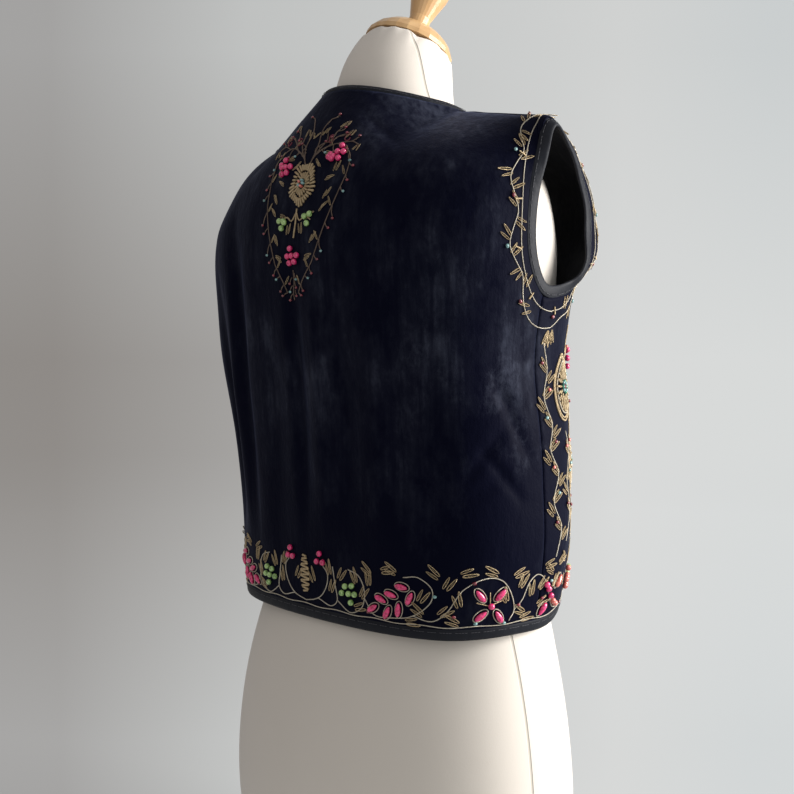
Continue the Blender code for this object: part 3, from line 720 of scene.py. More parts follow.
def buildLinings():
    # Only as far down as the lining's solid goes.
    base = inside - outerNormals * cloth["layerGap"]
    for number, (name, solid) in enumerate(zip(list(cuts)[3:], liningSolids)):
        near = BVHTree.FromObject(nodes[solid], bpy.context.evaluated_depsgraph_get())
        faces = [
            face for face in panelFaces(number)
            if near.find_nearest(Vector(base[list(face)].mean(axis=0)), cloth["liningReach"])[0] is not None
        ]
        clothPiece(name, solid, base, faces, cloth["liningWall"], satin)


buildPanels()
print("panels done")
buildLinings()
print("linings done")

binding = {
    "width": 0.0090,
    "lap": 0.0010,
    "proud": 0.0005,
    "spacing": 0.0025,
    "under": 0.0028,
    "neck": 0.62,
    "strip": 0.0125,
}


def bindingStrip(name, loop, solid):
    # A folded satin edge along a closed loop, lapping a little over the velvet.
    even, length = evenly(loop, binding["spacing"])
    small = length < 1.0
    even = smoothed(even, 20 if small else 5)
    tangent, normal, away = edgeFrames(even, vestSurface, 100 if small else 30)
    lap, proud, under, wide = binding["lap"], binding["proud"], binding["under"], binding["width"]
    onNeck = np.clip((even[:, 2] - 0.60) / 0.04, 0, 1)
    narrowing = np.ones(len(even)) if small else 1 - (1 - binding["neck"]) * onNeck
    section = [
        (-lap, 0.0001),
        (-0.5 * lap, 0.8 * proud),
        (0.30 * wide, proud),
        (0.75 * wide, 0.8 * proud),
        (0.96 * wide, -0.0003),
        (1.00 * wide, -0.0011),
        (0.95 * wide, -0.8 * under),
        (0.70 * wide, -under),
        (0.25 * wide, -under),
        (-lap, -under),
    ]
    count, ring = len(section), len(even)
    points = np.array([
        place + out * a * slim + up * b
        for place, out, up, slim in zip(even, away, normal, narrowing) for a, b in section
    ])
    made = addMesh(name, points, ringFaces(ring, count, closed=True), satin)
    repair = bmesh.new()
    repair.from_mesh(made.data)
    bmesh.ops.recalc_face_normals(repair, faces=repair.faces)
    repair.to_mesh(made.data)
    repair.free()
    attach(made, "root")
    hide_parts(solid)
    return even, tangent, normal, away


loops = boundaryLoops(sheetFaces)
armLoops = sorted(loops[:2], key=lambda loop: -outer[loop][:, 0].mean())
armLeft = bindingStrip("armBindingLeft", outer[armLoops[0]], "armhole_binding_left")
armRight = bindingStrip("armBindingRight", outer[armLoops[1]], "armhole_binding_right")
edgeRun = bindingStrip("edgeBinding", outer[loops[2]], "edge_binding")
print("bindings done")


# Embroidery: threads, purl leaves and beads laid on the cloth

def metalFinish(name, bright, dark, rough):
    # Fine wire wound in a coil: the bands run across the thread's own length.
    finish, tree, shader = newMaterial(name, bright, roughness=rough, metallic=0.55)
    lengthwise = node(tree, "ShaderNodeUVMap", uv_map="along").outputs["UV"]
    coil = node(tree, "ShaderNodeTexWave", Scale=0.32, bands_direction="X")
    tree.links.new(lengthwise, coil.inputs["Vector"])
    tarnish = noise(tree, placeCoords(tree), 160.0, 3.0, 0.6)
    clean = ramp(tree, tarnish, [(0.3, (0.5,) * 3), (0.65, (1.0,) * 3)])
    # The colour follows the coil: darker between its turns as painted shade, brighter on them as painted
    # highlight. The tarnish noise dims it at random.
    share = maths(tree, "MULTIPLY", coil.outputs["Fac"], clean)
    painted(tree, shader, mixed(tree, share, dark, bright), bump(tree, coil.outputs["Fac"], 0.0004, 0.8))
    return finish


def glassFinish(name, colour, deep):
    # Pearly glass, streaked along its own length.
    finish, tree, shader = newMaterial(name, colour, roughness=0.24, coatWeight=0.9, coatRoughness=0.14)
    tone = noise(tree, placeCoords(tree), 420.0, 2.0)
    streak = ramp(tree, tone, [(0.38, (0, 0, 0)), (0.56, (1, 1, 1))])
    painted(tree, shader, mixed(tree, streak, deep, colour))
    return finish


gold = metalFinish("goldPurl", (0.77, 0.61, 0.38), (0.30, 0.21, 0.11), 0.38)
paleThread = metalFinish("couchedThread", (0.80, 0.74, 0.62), (0.34, 0.29, 0.22), 0.45)
twigThread = metalFinish("twigThread", (0.27, 0.20, 0.15), (0.08, 0.05, 0.04), 0.5)
glassColours = {
    "pink": ((0.76, 0.030, 0.18), (0.42, 0.008, 0.08)),
    "green": ((0.38, 0.56, 0.20), (0.15, 0.28, 0.07)),
    "coral": ((0.75, 0.20, 0.16), (0.45, 0.08, 0.06)),
    "darkRed": ((0.22, 0.015, 0.03), (0.10, 0.006, 0.01)),
    "teal": ((0.20, 0.36, 0.36), (0.08, 0.18, 0.18)),
    "emerald": ((0.02, 0.22, 0.13), (0.01, 0.10, 0.06)),
}
glass = {name: glassFinish(name + "Glass", *tones) for name, tones in glassColours.items()}

sewn = {"gold": [], "pale": [], "twig": [], "red": []}
leafSpots, strandSpots = [], []
beadSpots = {"round": {}, "drop": {}, "seed": {}}


def curvePoints(controls, finest=0.0012):
    # A smooth line through the control points.
    knots = np.array(controls, dtype=float)
    knots = np.concatenate([2 * knots[:1] - knots[1:2], knots, 2 * knots[-1:] - knots[-2:-1]])
    made = []
    for a, b, c, d in zip(knots, knots[1:], knots[2:], knots[3:]):
        steps = max(2, int(np.linalg.norm(c - b) / finest / 2))
        for t in np.arange(steps) / steps:
            made.append(0.5 * (2 * b + (c - a) * t + (2 * a - 5 * b + 4 * c - d) * t ** 2
                               + (3 * b - a - 3 * c + d) * t ** 3))
    made.append(knots[-2])
    return np.array(made)


def sew(at, controls, kind="pale", radius=0.00055):
    # Lays a thread along a smooth line of chart places.
    line = []
    for a, b in curvePoints(controls):
        spot, normal = vestSurface.snap(at(a, b))
        line.append((spot + normal * radius * 0.6, normal))
    sewn[kind].append((line, radius))


def basis(along, normal):
    # Euler angles that turn +X along the direction and +Z to the normal.
    side = unit(np.cross(normal, along))
    ahead = np.cross(side, normal)
    return Matrix([list(row) for row in zip(ahead, side, normal)]).to_euler()


def placed(at, a, b, angle, stretch, lift=0.0):
    spot, normal, across, up = framed(vestSurface, at, a, b)
    along = across * cos(angle) + up * sin(angle)
    return spot + normal * lift, basis(along, normal), stretch


def leaf(at, a, b, degrees, length=0.013):
    leafSpots.append(placed(at, a, b, radians(degrees), (length,) * 3, 0.0004))


def leafPair(at, a, b, degrees, length=0.013, spread=12):
    aside = radians(degrees + 90)
    for flip, share in ((-1, 1.0), (1, 0.86)):
        leaf(at, a + flip * 0.0016 * cos(aside), b + flip * 0.0016 * sin(aside), degrees + flip * spread / 2,
             length * share)


def strand(at, a, b, degrees, length, thick=0.0011):
    strandSpots.append(placed(at, a, b, radians(degrees), (length, thick, thick), 0.0006))


def bead(kind, colour, at, a, b, degrees=0.0, size=(0.002, 0.002, 0.0016)):
    spot = placed(at, a, b, radians(degrees), size, size[2] * 0.5)
    beadSpots[kind].setdefault(colour, []).append(spot)


def twig(at, a, b, degrees, length, colour, kind="twig"):
    # A short sewn twig that ends in a small bead.
    turn = radians(degrees)
    end = (a + length * cos(turn), b + length * sin(turn))
    middle = (a + 0.5 * length * cos(turn + 0.25), b + 0.5 * length * sin(turn + 0.25))
    sew(at, [(a, b), middle, end], kind, 0.0005)
    bead("seed", colour, at, *end, 0, (0.0030, 0.0024, 0.0020))


def mirrored(side, degrees):
    # A direction drawn for one half of a motif, as it lies on this side.
    return degrees if side > 0 else 180 - degrees


def inMetres(side, points):
    # Places drawn in millimetres for one half of a motif, as they lie on this side.
    return [(side * a * millimetre, b * millimetre) for a, b in points]


def cadBeads(solid):
    # The raised beads and pads of a panel's solid: place, direction, size along, across and up.
    whole = welded(solid)
    plain = innerSheet(solid)
    under = BVHTree.FromBMesh(plain)
    rise = {}
    for vertex in whole.verts:
        spot, _, _, distance = under.find_nearest(vertex.co)
        if distance > cloth["velvetWall"] + 0.0005:
            rise[vertex] = distance - cloth["velvetWall"]
    found = []
    while rise:
        vertex, height = rise.popitem()
        group = [(vertex, height)]
        queue = [vertex]
        while queue:
            for edge in queue.pop().link_edges:
                for other in edge.verts:
                    if other in rise:
                        group.append((other, rise.pop(other)))
                        queue.append(other)
        points = np.array([v.co[:] for v, _ in group])
        spot, normal = vestSurface.snap(points.mean(axis=0))
        flat = points - points.mean(axis=0)
        flat -= np.outer(flat @ normal, normal)
        along = np.linalg.eigh(flat.T @ flat)[1][:, 2]
        side = np.cross(normal, along)
        sizes = (np.ptp(flat @ along), np.ptp(flat @ side), max(h for _, h in group))
        found.append((spot, normal, along, sizes))
    whole.free()
    plain.free()
    return found


chartPoints = np.concatenate([run for _, run in strips])
chartValues = np.array([(u, row * chart["step"]) for row, (along, _) in enumerate(strips) for u in along])


def chartPlaceOf(spot):
    return chartValues[np.argmin(np.linalg.norm(chartPoints - spot, axis=1))]


def sideSeam(v, side):
    # The distance from the centre back to a side seam at a height above the hem.
    row = int(v / chart["step"])
    best = None
    for along, spot in zip(*strips[row]):
        if along * side > 0.12:
            gap = np.min(np.linalg.norm(inner[seams] - spot, axis=1))
            if best is None or gap < best[0]:
                best = (gap, along)
    return best[1]


# The dress form

def buildForm():
    torso = welded("form_torso")
    bmesh.ops.join_triangles(
        torso, faces=torso.faces, angle_face_threshold=radians(60), angle_shape_threshold=radians(130)
    )
    made = refined(linked("formCover", meshFrom(torso, "formCover")), 2)
    made.data.polygons.foreach_set("use_smooth", [True] * len(made.data.polygons))
    made.data.materials.clear()
    made.data.materials.append(cover)
    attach(made, "root")
    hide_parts("form_torso")


buildForm()
for name in ("form_neck_cap", "form_finial"):
    solid = nodes[name]
    for place in solid.material_slots:
        place.material = wood
    solid.data.polygons.foreach_set("use_smooth", [True] * len(solid.data.polygons))
print("form done")


# Where the beads that are raised on the solids lie, and their colours

# Green and coral places by distance from the centre back, its reach, and heights above the hem
beadPlaces = [
    ("green", 0.057, 0.017, 0.0, 0.036),
    ("green", 0.316, 0.019, 0.0, 0.05),
    ("green", 0.352, 0.030, 0.230, 0.28),
    ("green", 0.012, 0.026, 0.308, 0.338),
    ("coral", 0.270, 0.022, 0.0, 0.05),
]
beadSizes = {
    "round": (0.0053, 0.0053, 0.0048),
    "drop": (0.0120, 0.0054, 0.0046),
}
bigBeads, pads = [], []


def beadColour(u, v):
    for colour, middle, reach, low, high in beadPlaces:
        if abs(abs(u) - middle) < reach and low <= v < high:
            return colour
    return "pink"


def placeCadBeads():
    for solid in panelSolids:
        for spot, normal, along, (length, width, _) in cadBeads(solid):
            if length < 0.003:
                continue
            u, v = chartPlaceOf(spot)
            bigBeads.append((u, v, length))
            if length > 0.025:
                pads.append((spot, normal, along, length, width))
                continue
            kind, offsets = "round", (0.0,)
            if length > 0.0108:
                kind = "drop"
                halo(spot, normal, along)
            elif length > 1.4 * width:  # two round beads that touch
                offsets = (0.0026 - length / 2, length / 2 - 0.0026)
            size = beadSizes[kind]
            for offset in offsets:
                place = spot + along * offset + normal * size[2] * 0.42
                beadSpots[kind].setdefault(beadColour(u, v), []).append((place, basis(along, normal), size))


def halo(spot, normal, along):
    # A loop of thread round a drop bead.
    side = np.cross(normal, along)
    line = []
    for turn in np.linspace(0, 2 * pi, 19):
        place = spot + along * 0.0072 * cos(turn) + side * 0.0037 * sin(turn)
        ground, up = vestSurface.snap(place)
        line.append((ground + up * 0.0004, up))
    sewn["pale"].append((line, 0.00042))


def clearOf(u, v, reach):
    return all((u - a) ** 2 + (v - b) ** 2 > (reach + 0.3 * size) ** 2 for a, b, size in bigBeads)


# The nape: a drop of flowers, fruit and twigs hanging from the neck.
# A drawn place is (a, b): a from the motif's middle line, which leans on the cloth, b down from the neck.
napeDrawn = [0.0, 0.008, 0.040, 0.062, 0.083, 0.114, 0.139, 0.190]
napeDown = [0.018, 0.026, 0.056, 0.076, 0.090, 0.1275, 0.155, 0.187]
napeMiddle = [0.014, 0.014, 0.017, 0.019, 0.018, 0.012, 0.009, 0.006]


rosette = {
    "u": 0.0175,
    "w": 0.090,
    "rings": [(31, 0.0098, 0.0166, 0.0022), (19, 0.0034, 0.0100, 0.0020)],  # strands, near, far, thickness
    "lobes": 5,
    "waviness": 0.09,
    "tall": 1.12,
    "lean": 14,
    "seeds": 5,
    "heart": 0.0026,
}


def napePlace(a, b):
    down = float(np.interp(b, napeDrawn, napeDown))
    return napeAt(float(np.interp(down, napeDown, napeMiddle)) + 0.9 * a, down)


def buildNape():
    at = napePlace
    for count, near, far, wide in rosette["rings"]:
        for k in range(count):
            turn = 2 * pi * k / count
            tip = far * (1.0 + rosette["waviness"] * sin(rosette["lobes"] * turn))
            middle = (near + tip) / 2
            u, w = rosette["u"] + middle * cos(turn), rosette["w"] + rosette["tall"] * middle * sin(turn)
            strand(napeAt, u, w, rosette["lean"] - 180 / pi * turn, tip - near, wide)
    for k in range(rosette["seeds"]):
        turn = 2 * pi * k / rosette["seeds"]
        u, w = rosette["u"] + rosette["heart"] * cos(turn), rosette["w"] + rosette["heart"] * sin(turn)
        bead("seed", "coral" if k % 2 else "teal", napeAt, u, w, 0, (0.0028, 0.0028, 0.0046))
    for side in (-1, 1):
        stem = inMetres(side, [(0, 64), (10, 50), (30, 40), (50, 50), (55, 72), (51, 95), (40, 118),
                               (27, 142), (16, 162), (9, 178)])
        sew(at, stem, "twig", 0.0005)
        for k, (a, b) in enumerate(curvePoints(stem)[10::5]):
            outward = 0.0100 if k % 2 else 0.0070
            colour = "darkRed" if k % 3 else "teal"
            twig(at, a, b, mirrored(side, 74) - side * (10 if k % 2 else 42), outward, colour)
            if k % 2:
                leaf(at, a - side * 0.002, b, 90 + side * 32, 0.0085)
        for spray in (
            [(3, 62), (9, 42), (6, 26), (12, 12)],
            [(6, 54), (16, 38), (14, 22)],
            [(18, 46), (30, 32), (44, 24)],
            [(24, 42), (26, 26), (34, 14)],
            [(34, 40), (46, 36), (56, 40)],
        ):
            sew(at, inMetres(side, spray), "twig", 0.0005)
            for k, (a, b) in enumerate(inMetres(side, spray[1:])):
                if k % 2 == 0:
                    twig(at, a, b, mirrored(side, -35), 0.009, "darkRed")
                else:
                    leafPair(at, a, b, mirrored(side, -110), 0.0080, 24)
        for k, (a, b) in enumerate(inMetres(side, [(10, 46), (22, 34), (40, 32)])):
            turns = np.linspace(0, 1.8 * pi, 12)
            curl = [(a + 0.0030 * cos(t), b + 0.0038 * sin(t)) for t in turns]
            sew(at, curl, "red" if k else "twig", 0.0005)
        for a, b, turn in (
            (12, 56, -40), (22, 50, -10), (31, 80, 20), (36, 94, 60), (16, 106, 20), (34, 102, 40),
            (10, 117, 100), (18, 136, 20), (26, 124, 60), (40, 70, 80),
        ):
            leafPair(at, side * a * millimetre, b * millimetre, mirrored(side, turn), 0.0092, 10)
        sew(at, inMetres(side, [(0, 102), (6, 108), (14, 105), (22, 108)]), "gold", 0.0006)
    sew(at, inMetres(1, [(0, 100), (1, 110), (0, 120)]), "gold", 0.0008)
    for k in range(6):
        flip = (-1) ** k
        twig(at, 0.0020 * flip, 0.152 + 0.0055 * k, 90 - 22 * flip, 0.0090, "darkRed" if k % 3 else "teal")
    sew(at, inMetres(1, [(0, 148), (1, 162), (-1, 176), (0, 188)]), "twig", 0.0005)


# The hem: a scroll with fruit and flowers, the same to both sides of its middle.
# Drawn distances from the middle, and those on the cloth.
hemDrawn = [0.0, 0.0155, 0.046, 0.094, 0.168, 0.220, 0.286, 0.338, 0.420]
hemAcross = [0.0, 0.022, 0.057, 0.105, 0.189, 0.230, 0.272, 0.318, 0.416]
hemMiddle = -0.002


def hemPlace(a, b):
    side = 1 if a > 0 else -1
    return bodyAt(hemMiddle + side * float(np.interp(abs(a), hemDrawn, hemAcross)), b)


bud = {"low": 0.013, "high": 0.046, "wide": 0.0135, "strands": 14}
ray = {"length": 0.011, "places": [(168, 20, 90), (168, 20, 18), (168, 20, 162), (286, 20, 90)]}


def buildHem():
    at = hemPlace
    for k in range(bud["strands"]):
        share = (k + 0.5) / bud["strands"]
        width = bud["wide"] * (0.35 + 0.65 * sin(pi * share ** 0.8))
        strand(at, 0, bud["low"] + (bud["high"] - bud["low"]) * share, 8 * (-1) ** k, width, 0.0021)
    for side in (-1, 1):
        scrolls = [
            [(0, 6), (12, 10), (21, 20), (24, 32), (18, 40)],
            [(12, 10), (26, 6), (34, 12), (32, 26), (30, 40)],
            [(34, 12), (48, 4), (62, 10), (66, 24), (60, 36), (47, 40)],
            [(66, 18), (76, 6), (94, 6), (112, 10), (126, 22), (128, 34), (118, 42), (106, 41)],
            [(112, 10), (126, 7), (138, 16), (150, 34), (166, 43), (182, 40), (191, 28), (193, 14),
             (186, 5)],
            [(193, 14), (204, 22), (214, 36), (226, 41), (238, 36), (246, 22)],
            [(246, 22), (254, 8), (268, 5), (284, 5)],
            [(300, 8), (312, 24), (324, 40), (342, 42), (354, 32), (360, 16), (372, 5)],
            [(360, 16), (352, 6), (340, 4)],
            [(366, 40), (384, 44), (398, 36), (404, 20)],
        ]
        for scroll in scrolls:
            sew(at, inMetres(side, scroll), "pale", 0.00046)
        leaves = [
            (9, 24, 120), (27, 18, 70), (27, 33, 110), (37, 30, 60), (57, 30, 120), (62, 18, 60),
            (54, 8, 20), (74, 40, 150), (86, 43, 20), (72, 30, 100), (100, 44, 160), (112, 34, 115),
            (118, 22, 60), (120, 12, 150), (106, 4, 10), (134, 44, 150), (138, 34, 60), (132, 12, 40),
            (145, 6, 160), (147, 20, 110), (150, 46, 20), (178, 46, 160), (196, 42, 30), (186, 22, 120),
            (202, 32, 70), (206, 10, 160), (200, 4, 20), (216, 24, 100), (224, 14, 30), (228, 28, 60),
            (236, 6, 160), (240, 46, 20), (256, 40, 150), (256, 26, 70), (262, 14, 120), (270, 44, 30),
            (290, 44, 150), (304, 36, 60), (306, 18, 120), (318, 10, 30), (318, 46, 150), (338, 34, 20),
            (352, 44, 150), (352, 22, 80), (362, 30, 50), (376, 46, 20), (392, 10, 150), (398, 28, 110),
            (406, 42, 60), (410, 12, 20),
        ]
        for a, b, turn in leaves:
            a, b = a * millimetre, b * millimetre
            if clearOf(hemMiddle + side * float(np.interp(a, hemDrawn, hemAcross)), b, 0.0035):
                leafPair(at, side * a, b, mirrored(side, turn))
        for colour, spots in (
            ("darkRed", [(20, 44), (70, 8), (142, 12), (158, 40), (198, 18), (232, 20), (276, 6), (400, 4)]),
            ("teal", [(130, 28), (156, 6), (180, 4), (250, 33), (328, 6)]),
        ):
            for a, b in inMetres(side, spots):
                bead("seed", colour, at, a, b, 0, (0.0036, 0.0028, 0.0024))
        for a, b, turn in ray["places"]:
            reach = 0.55 * ray["length"]
            a = side * a * millimetre + reach * cos(radians(turn))
            b = b * millimetre + reach * sin(radians(turn))
            strand(at, a, b, turn, ray["length"], 0.0009)


# Armholes: a couched line, a wave with leaves and bars, ending in a point under the arm

def armPlaces(run):
    # Places by the distance round the armhole from its lowest point, up the back first, and from its edge.
    even, _, _, away = run
    low = int(np.argmin(even[:, 2]))
    even, away = np.roll(even, -low, axis=0), np.roll(away, -low, axis=0)
    if even[12, 1] < even[-12, 1]:
        even, away = np.roll(even[::-1], 1, axis=0), np.roll(away[::-1], 1, axis=0)
    closed, outs = np.concatenate([even, even[:1]]), np.concatenate([away, away[:1]])
    along = runLengths(closed)

    def at(s, d):
        s = s % along[-1]
        return interpolated(s, along, closed) - interpolated(s, along, outs) * d
    return at, along[-1]


armhole = {
    "line": 0.0075,
    "wave": 0.0145,
    "swing": 0.0040,
    "period": 0.042,
    "point": 0.010,
    "pointReach": 0.022,
}


def buildArmhole(run):
    at, length = armPlaces(run)
    middle, swing = armhole["wave"], armhole["swing"]
    waves = 2 * int(round(length / 2 / armhole["period"]))
    line, wave = [], []
    for k in range(4 * waves + 1):
        s = length * k / (4 * waves)
        near = min(s, length - s) / armhole["pointReach"]
        point = armhole["point"] * np.exp(-near * near)
        line.append((s, armhole["line"] + 0.0006 * sin(7 * k) + 0.4 * point))
        wave.append((s, middle + swing * sin(2 * pi * k / 4) + point))
    sew(at, line, "pale", 0.00044)
    sew(at, wave, "pale", 0.00046)
    for k in range(4 * waves):
        s = length * (k + 0.4) / (4 * waves)
        bend = middle + swing * sin(2 * pi * s * waves / length)
        flip = 1 if k % 2 else -1
        if 0.012 < s < length - 0.012:
            leafPair(at, s, bend, (48 if k % 3 else 112) * flip, 0.0110, 16)
        if k % 3 == 1:
            strand(at, s + 0.004, 0.0110, 80 + 20 * flip, 0.0070, 0.0015)
            colour = "darkRed" if k % 2 else "teal"
            bead("seed", colour, at, s + 0.006, bend + 0.0045, 0, (0.0036, 0.0030, 0.0024))
    for turn in (70, 90, 110):
        leafPair(at, 0.0, 0.0270, turn)


# The fronts: padded paisleys with gold round them, scrolls between

def padPlace(pad, turn, share):
    # A place on the pad's own outline, drawn in by a share: broad below and narrow at its upper end.
    _, normal, along, length, width = pad
    side = np.cross(normal, along)
    narrow = 1 - 0.55 * max(0, sin(turn)) ** 1.5
    return along * length / 2 * share * sin(turn) + side * width / 2 * share * narrow * cos(turn)


def buildPads():
    for spot, normal, along, length, width in pads:
        if length < 1.35 * width:
            continue
        if along[2] < 0:
            along = -along
        pad = (spot, normal, along, length, width)
        for share, kind, radius in ((1.10, "gold", 0.0008), (1.00, "gold", 0.0008), (0.86, "pale", 0.0006)):
            line = []
            for turn in np.linspace(0, 2 * pi, 41):
                ground, up = vestSurface.snap(spot + padPlace(pad, turn, share))
                line.append((ground + up * (0.0006 if share > 0.9 else 0.0016), up))
            sewn[kind].append((line, radius))
        for count, share in ((22, 0.70), (15, 0.44)):
            for k in range(count):
                offset = padPlace(pad, 2 * pi * k / count, share)
                ground, up = vestSurface.snap(spot + offset)
                strandSpots.append((ground + up * 0.0019, basis(unit(offset), up), (0.0066, 0.0019, 0.0019)))
        side = np.cross(normal, along)
        for k in range(9):
            turn = 2 * pi * k / 8
            reach = 0.0 if k == 8 else 0.0042
            ground, up = vestSurface.snap(spot + along * reach * sin(turn) + side * reach * cos(turn))
            colour = ("emerald", "teal")[k % 2] if k < 8 else "darkRed"
            size = (0.0034, 0.0034, 0.0032)
            beadSpots["seed"].setdefault(colour, []).append((ground + up * 0.0030, basis(along, up), size))


def buildFronts():
    at = bodyAt
    for side in (-1, 1):
        seam = abs(sideSeam(0.1, side))
        stems = [
            [(12, 52), (20, 75), (10, 98), (18, 120), (8, 140), (12, 160),
             (4, 182), (10, 204), (6, 226)],
            [(60, 52), (52, 80), (62, 108), (52, 134), (62, 160), (60, 186),
             (52, 208), (62, 232)],
            [(100, 50), (94, 76), (88, 100), (94, 124), (98, 150), (104, 176)],
            [(150, 52), (160, 76), (152, 100), (160, 124), (156, 150), (166, 176),
             (160, 200), (168, 224)],
            [(30, 60), (40, 85), (34, 110), (42, 132), (36, 150)],
        ]
        for n, stem in enumerate(stems):
            line = [(side * (seam + a * millimetre), b * millimetre) for a, b in stem]
            sew(at, line, "gold" if n % 2 else "pale", 0.0005)
            for k, (a, b) in enumerate(line[1:-1]):
                lean = 40 if k % 2 else 140
                if clearOf(a, b, 0.004):
                    leafPair(at, a, b, lean)
                    leafPair(at, a, b - 0.010, 180 - lean)
                offset = 0.007 if k % 2 else -0.007
                if clearOf(a + offset, b + 0.006, 0.003):
                    bead("seed", ("darkRed", "teal", "coral")[k % 3], at, a + offset, b + 0.006, 0,
                         (0.0036, 0.0030, 0.0026))


# Lines along the hem and up the front edges, and the sewing of every binding

def edgeStitches(run, spacing, inward, length):
    even, tangent, normal, away = run
    along = runLengths(even)
    spots = []
    for s in np.arange(0, along[-1], spacing):
        k = min(int(np.searchsorted(along, s)), len(even) - 1)
        place = even[k] + away[k] * inward + normal[k] * 0.0009
        spots.append((place, basis(tangent[k], normal[k]), (length, 0.0005, 0.0004)))
    return spots


def buildEdgeLine():
    # A thread along the hem and up both front edges, left out round the neck.
    even, _, _, away = edgeRun
    neck = even[:, 2] > 0.60
    line = []
    for n, k in enumerate(np.roll(np.arange(len(even)), -int(np.argmax(neck)))):
        if not neck[k]:
            ground, up = vestSurface.snap(even[k] - away[k] * (0.0030 + 0.0006 * sin(0.35 * n)))
            line.append((ground + up * 0.0004, up))
    sewn["pale"].append((line, 0.00045))


def threadTubes(name, lines, finish, sides=6):
    points, faces, lengths = [], [], []
    for line, radius in lines:
        places, ups = (np.array(column) for column in zip(*line))
        ahead = unit(np.gradient(places, axis=0))
        side = unit(np.cross(ahead, ups))
        over = np.cross(side, ahead)
        faces += ringFaces(len(places), sides, capped=True, base=len(points))
        for k, along in enumerate(runLengths(places)):
            for j in range(sides):
                turn = 2 * pi * j / sides
                points.append(places[k] + radius * (side[k] * cos(turn) + over[k] * sin(turn)))
                lengths.append((along / millimetre, j / sides))
    made = addMesh(name, points, faces, finish)
    labelLengths(made, lengths)
    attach(made, "root")
    print(name, len(lines), "threads", 2 * len(faces), "triangles")


def labelLengths(made, lengths):
    layer = made.data.uv_layers.new(name="along")
    corners = np.empty(len(made.data.loops), dtype=np.int32)
    made.data.loops.foreach_get("vertex_index", corners)
    layer.data.foreach_set("uv", np.array(lengths, dtype=np.float32)[corners].ravel())


# Small shapes that are repeated. Each is one unit long, along +X, with +Z away from the cloth.

def ringTube(path, radius, sides, closed=True):
    # A tube in the XY plane along a path, with its lengths.
    path = np.array([(x, y, 0.0) for x, y in path])
    if closed:
        ahead = unit(np.roll(path, -1, axis=0) - np.roll(path, 1, axis=0))
    else:
        ahead = unit(np.gradient(path, axis=0))
    up = np.array([0.0, 0.0, 1.0])
    side = np.cross(ahead, up)
    points, lengths = [], []
    for k in range(len(path)):
        for j in range(sides):
            turn = 2 * pi * j / sides
            points.append(path[k] + radius * (side[k] * cos(turn) + up * sin(turn)))
            lengths.append((36.0 * k / len(path), j / sides))
    return points, ringFaces(len(path), sides, closed), lengths


def leafItem():
    # A long open loop of purl, a little bent, with a short strand inside it.
    turns = np.linspace(0, 2 * pi, 18, endpoint=False)
    loop = [(0.5 - 0.5 * cos(t), 0.088 * sin(t) * (1 + 0.25 * cos(t)) + 0.05 * cos(t)) for t in turns]
    points, faces, lengths = ringTube(loop, 0.030, 5)
    middle = [(x, 0.05 * (1 - 2 * x)) for x in np.linspace(0.30, 0.66, 4)]
    more, moreFaces, moreLengths = ringTube(middle, 0.016, 5, closed=False)
    base = len(points)
    points += more
    faces += [tuple(base + k for k in face) for face in moreFaces]
    lengths += moreLengths
    made = addMesh("leafItem", points, faces, gold)
    labelLengths(made, lengths)
    return made


def turned(name, profile, sides, finish):
    # A closed shape turned about +X, from its places along it and radii.
    points, lengths = [], []
    for x, r in profile:
        for j in range(sides):
            turn = 2 * pi * j / sides
            points.append((x, r * cos(turn), r * sin(turn)))
            lengths.append((8 * x + 4, j / sides))
    made = addMesh(name, points, ringFaces(len(profile), sides, capped=True), finish)
    return made, lengths


def strandItem():
    # A short bar of purl with rounded ends, centred.
    half = [(0.5, 0.15), (0.46, 0.38), (0.38, 0.5), (0.13, 0.5)]
    profile = [(-x, r) for x, r in half] + half[::-1]
    made, lengths = turned("strandItem", profile, 6, gold)
    labelLengths(made, lengths)
    return made


def beadItem(name, taper, rings, sides, finish):
    # A round or drop-shaped bead with a dimple at each end, centred.
    profile = []
    for k in range(rings):
        turn = pi * (k + 0.5) / rings
        x = -0.5 * cos(turn)
        profile.append((x, 0.5 * sin(turn) * (1 - taper * (x + 0.5) ** 2)))
    return turned(name, profile, sides, finish)[0]


# Geometry Nodes: one item at every spot

def scatterNodes():
    group = bpy.data.node_groups.new("scatterItems", "GeometryNodeTree")
    for name, kind in (("Spots", "Geometry"), ("Item", "Object"), ("Finish", "Material")):
        group.interface.new_socket(name, in_out="INPUT", socket_type="NodeSocket" + kind)
    group.interface.new_socket("Placed", in_out="OUTPUT", socket_type="NodeSocketGeometry")
    start = node(group, "NodeGroupInput")
    end = node(group, "NodeGroupOutput")
    item = node(group, "GeometryNodeObjectInfo")
    each = node(group, "GeometryNodeInstanceOnPoints")
    turn = node(group, "GeometryNodeInputNamedAttribute", data_type="FLOAT_VECTOR", Name="turn")
    stretch = node(group, "GeometryNodeInputNamedAttribute", data_type="FLOAT_VECTOR", Name="stretch")
    euler = node(group, "FunctionNodeEulerToRotation")
    real = node(group, "GeometryNodeRealizeInstances")
    coat = node(group, "GeometryNodeSetMaterial")
    for source, given, target, taken in (
        (start, "Spots", each, "Points"),
        (start, "Item", item, "Object"),
        (item, "Geometry", each, "Instance"),
        (turn, "Attribute", euler, "Euler"),
        (euler, "Rotation", each, "Rotation"),
        (stretch, "Attribute", each, "Scale"),
        (each, "Instances", real, "Geometry"),
        (real, "Geometry", coat, "Geometry"),
        (start, "Finish", coat, "Material"),
        (coat, "Geometry", end, "Placed"),
    ):
        group.links.new(source.outputs[given], target.inputs[taken])
    return group


scatterGroup = scatterNodes()
socketOf = {
    item.name: item.identifier for item in scatterGroup.interface.items_tree if item.in_out == "INPUT"
}


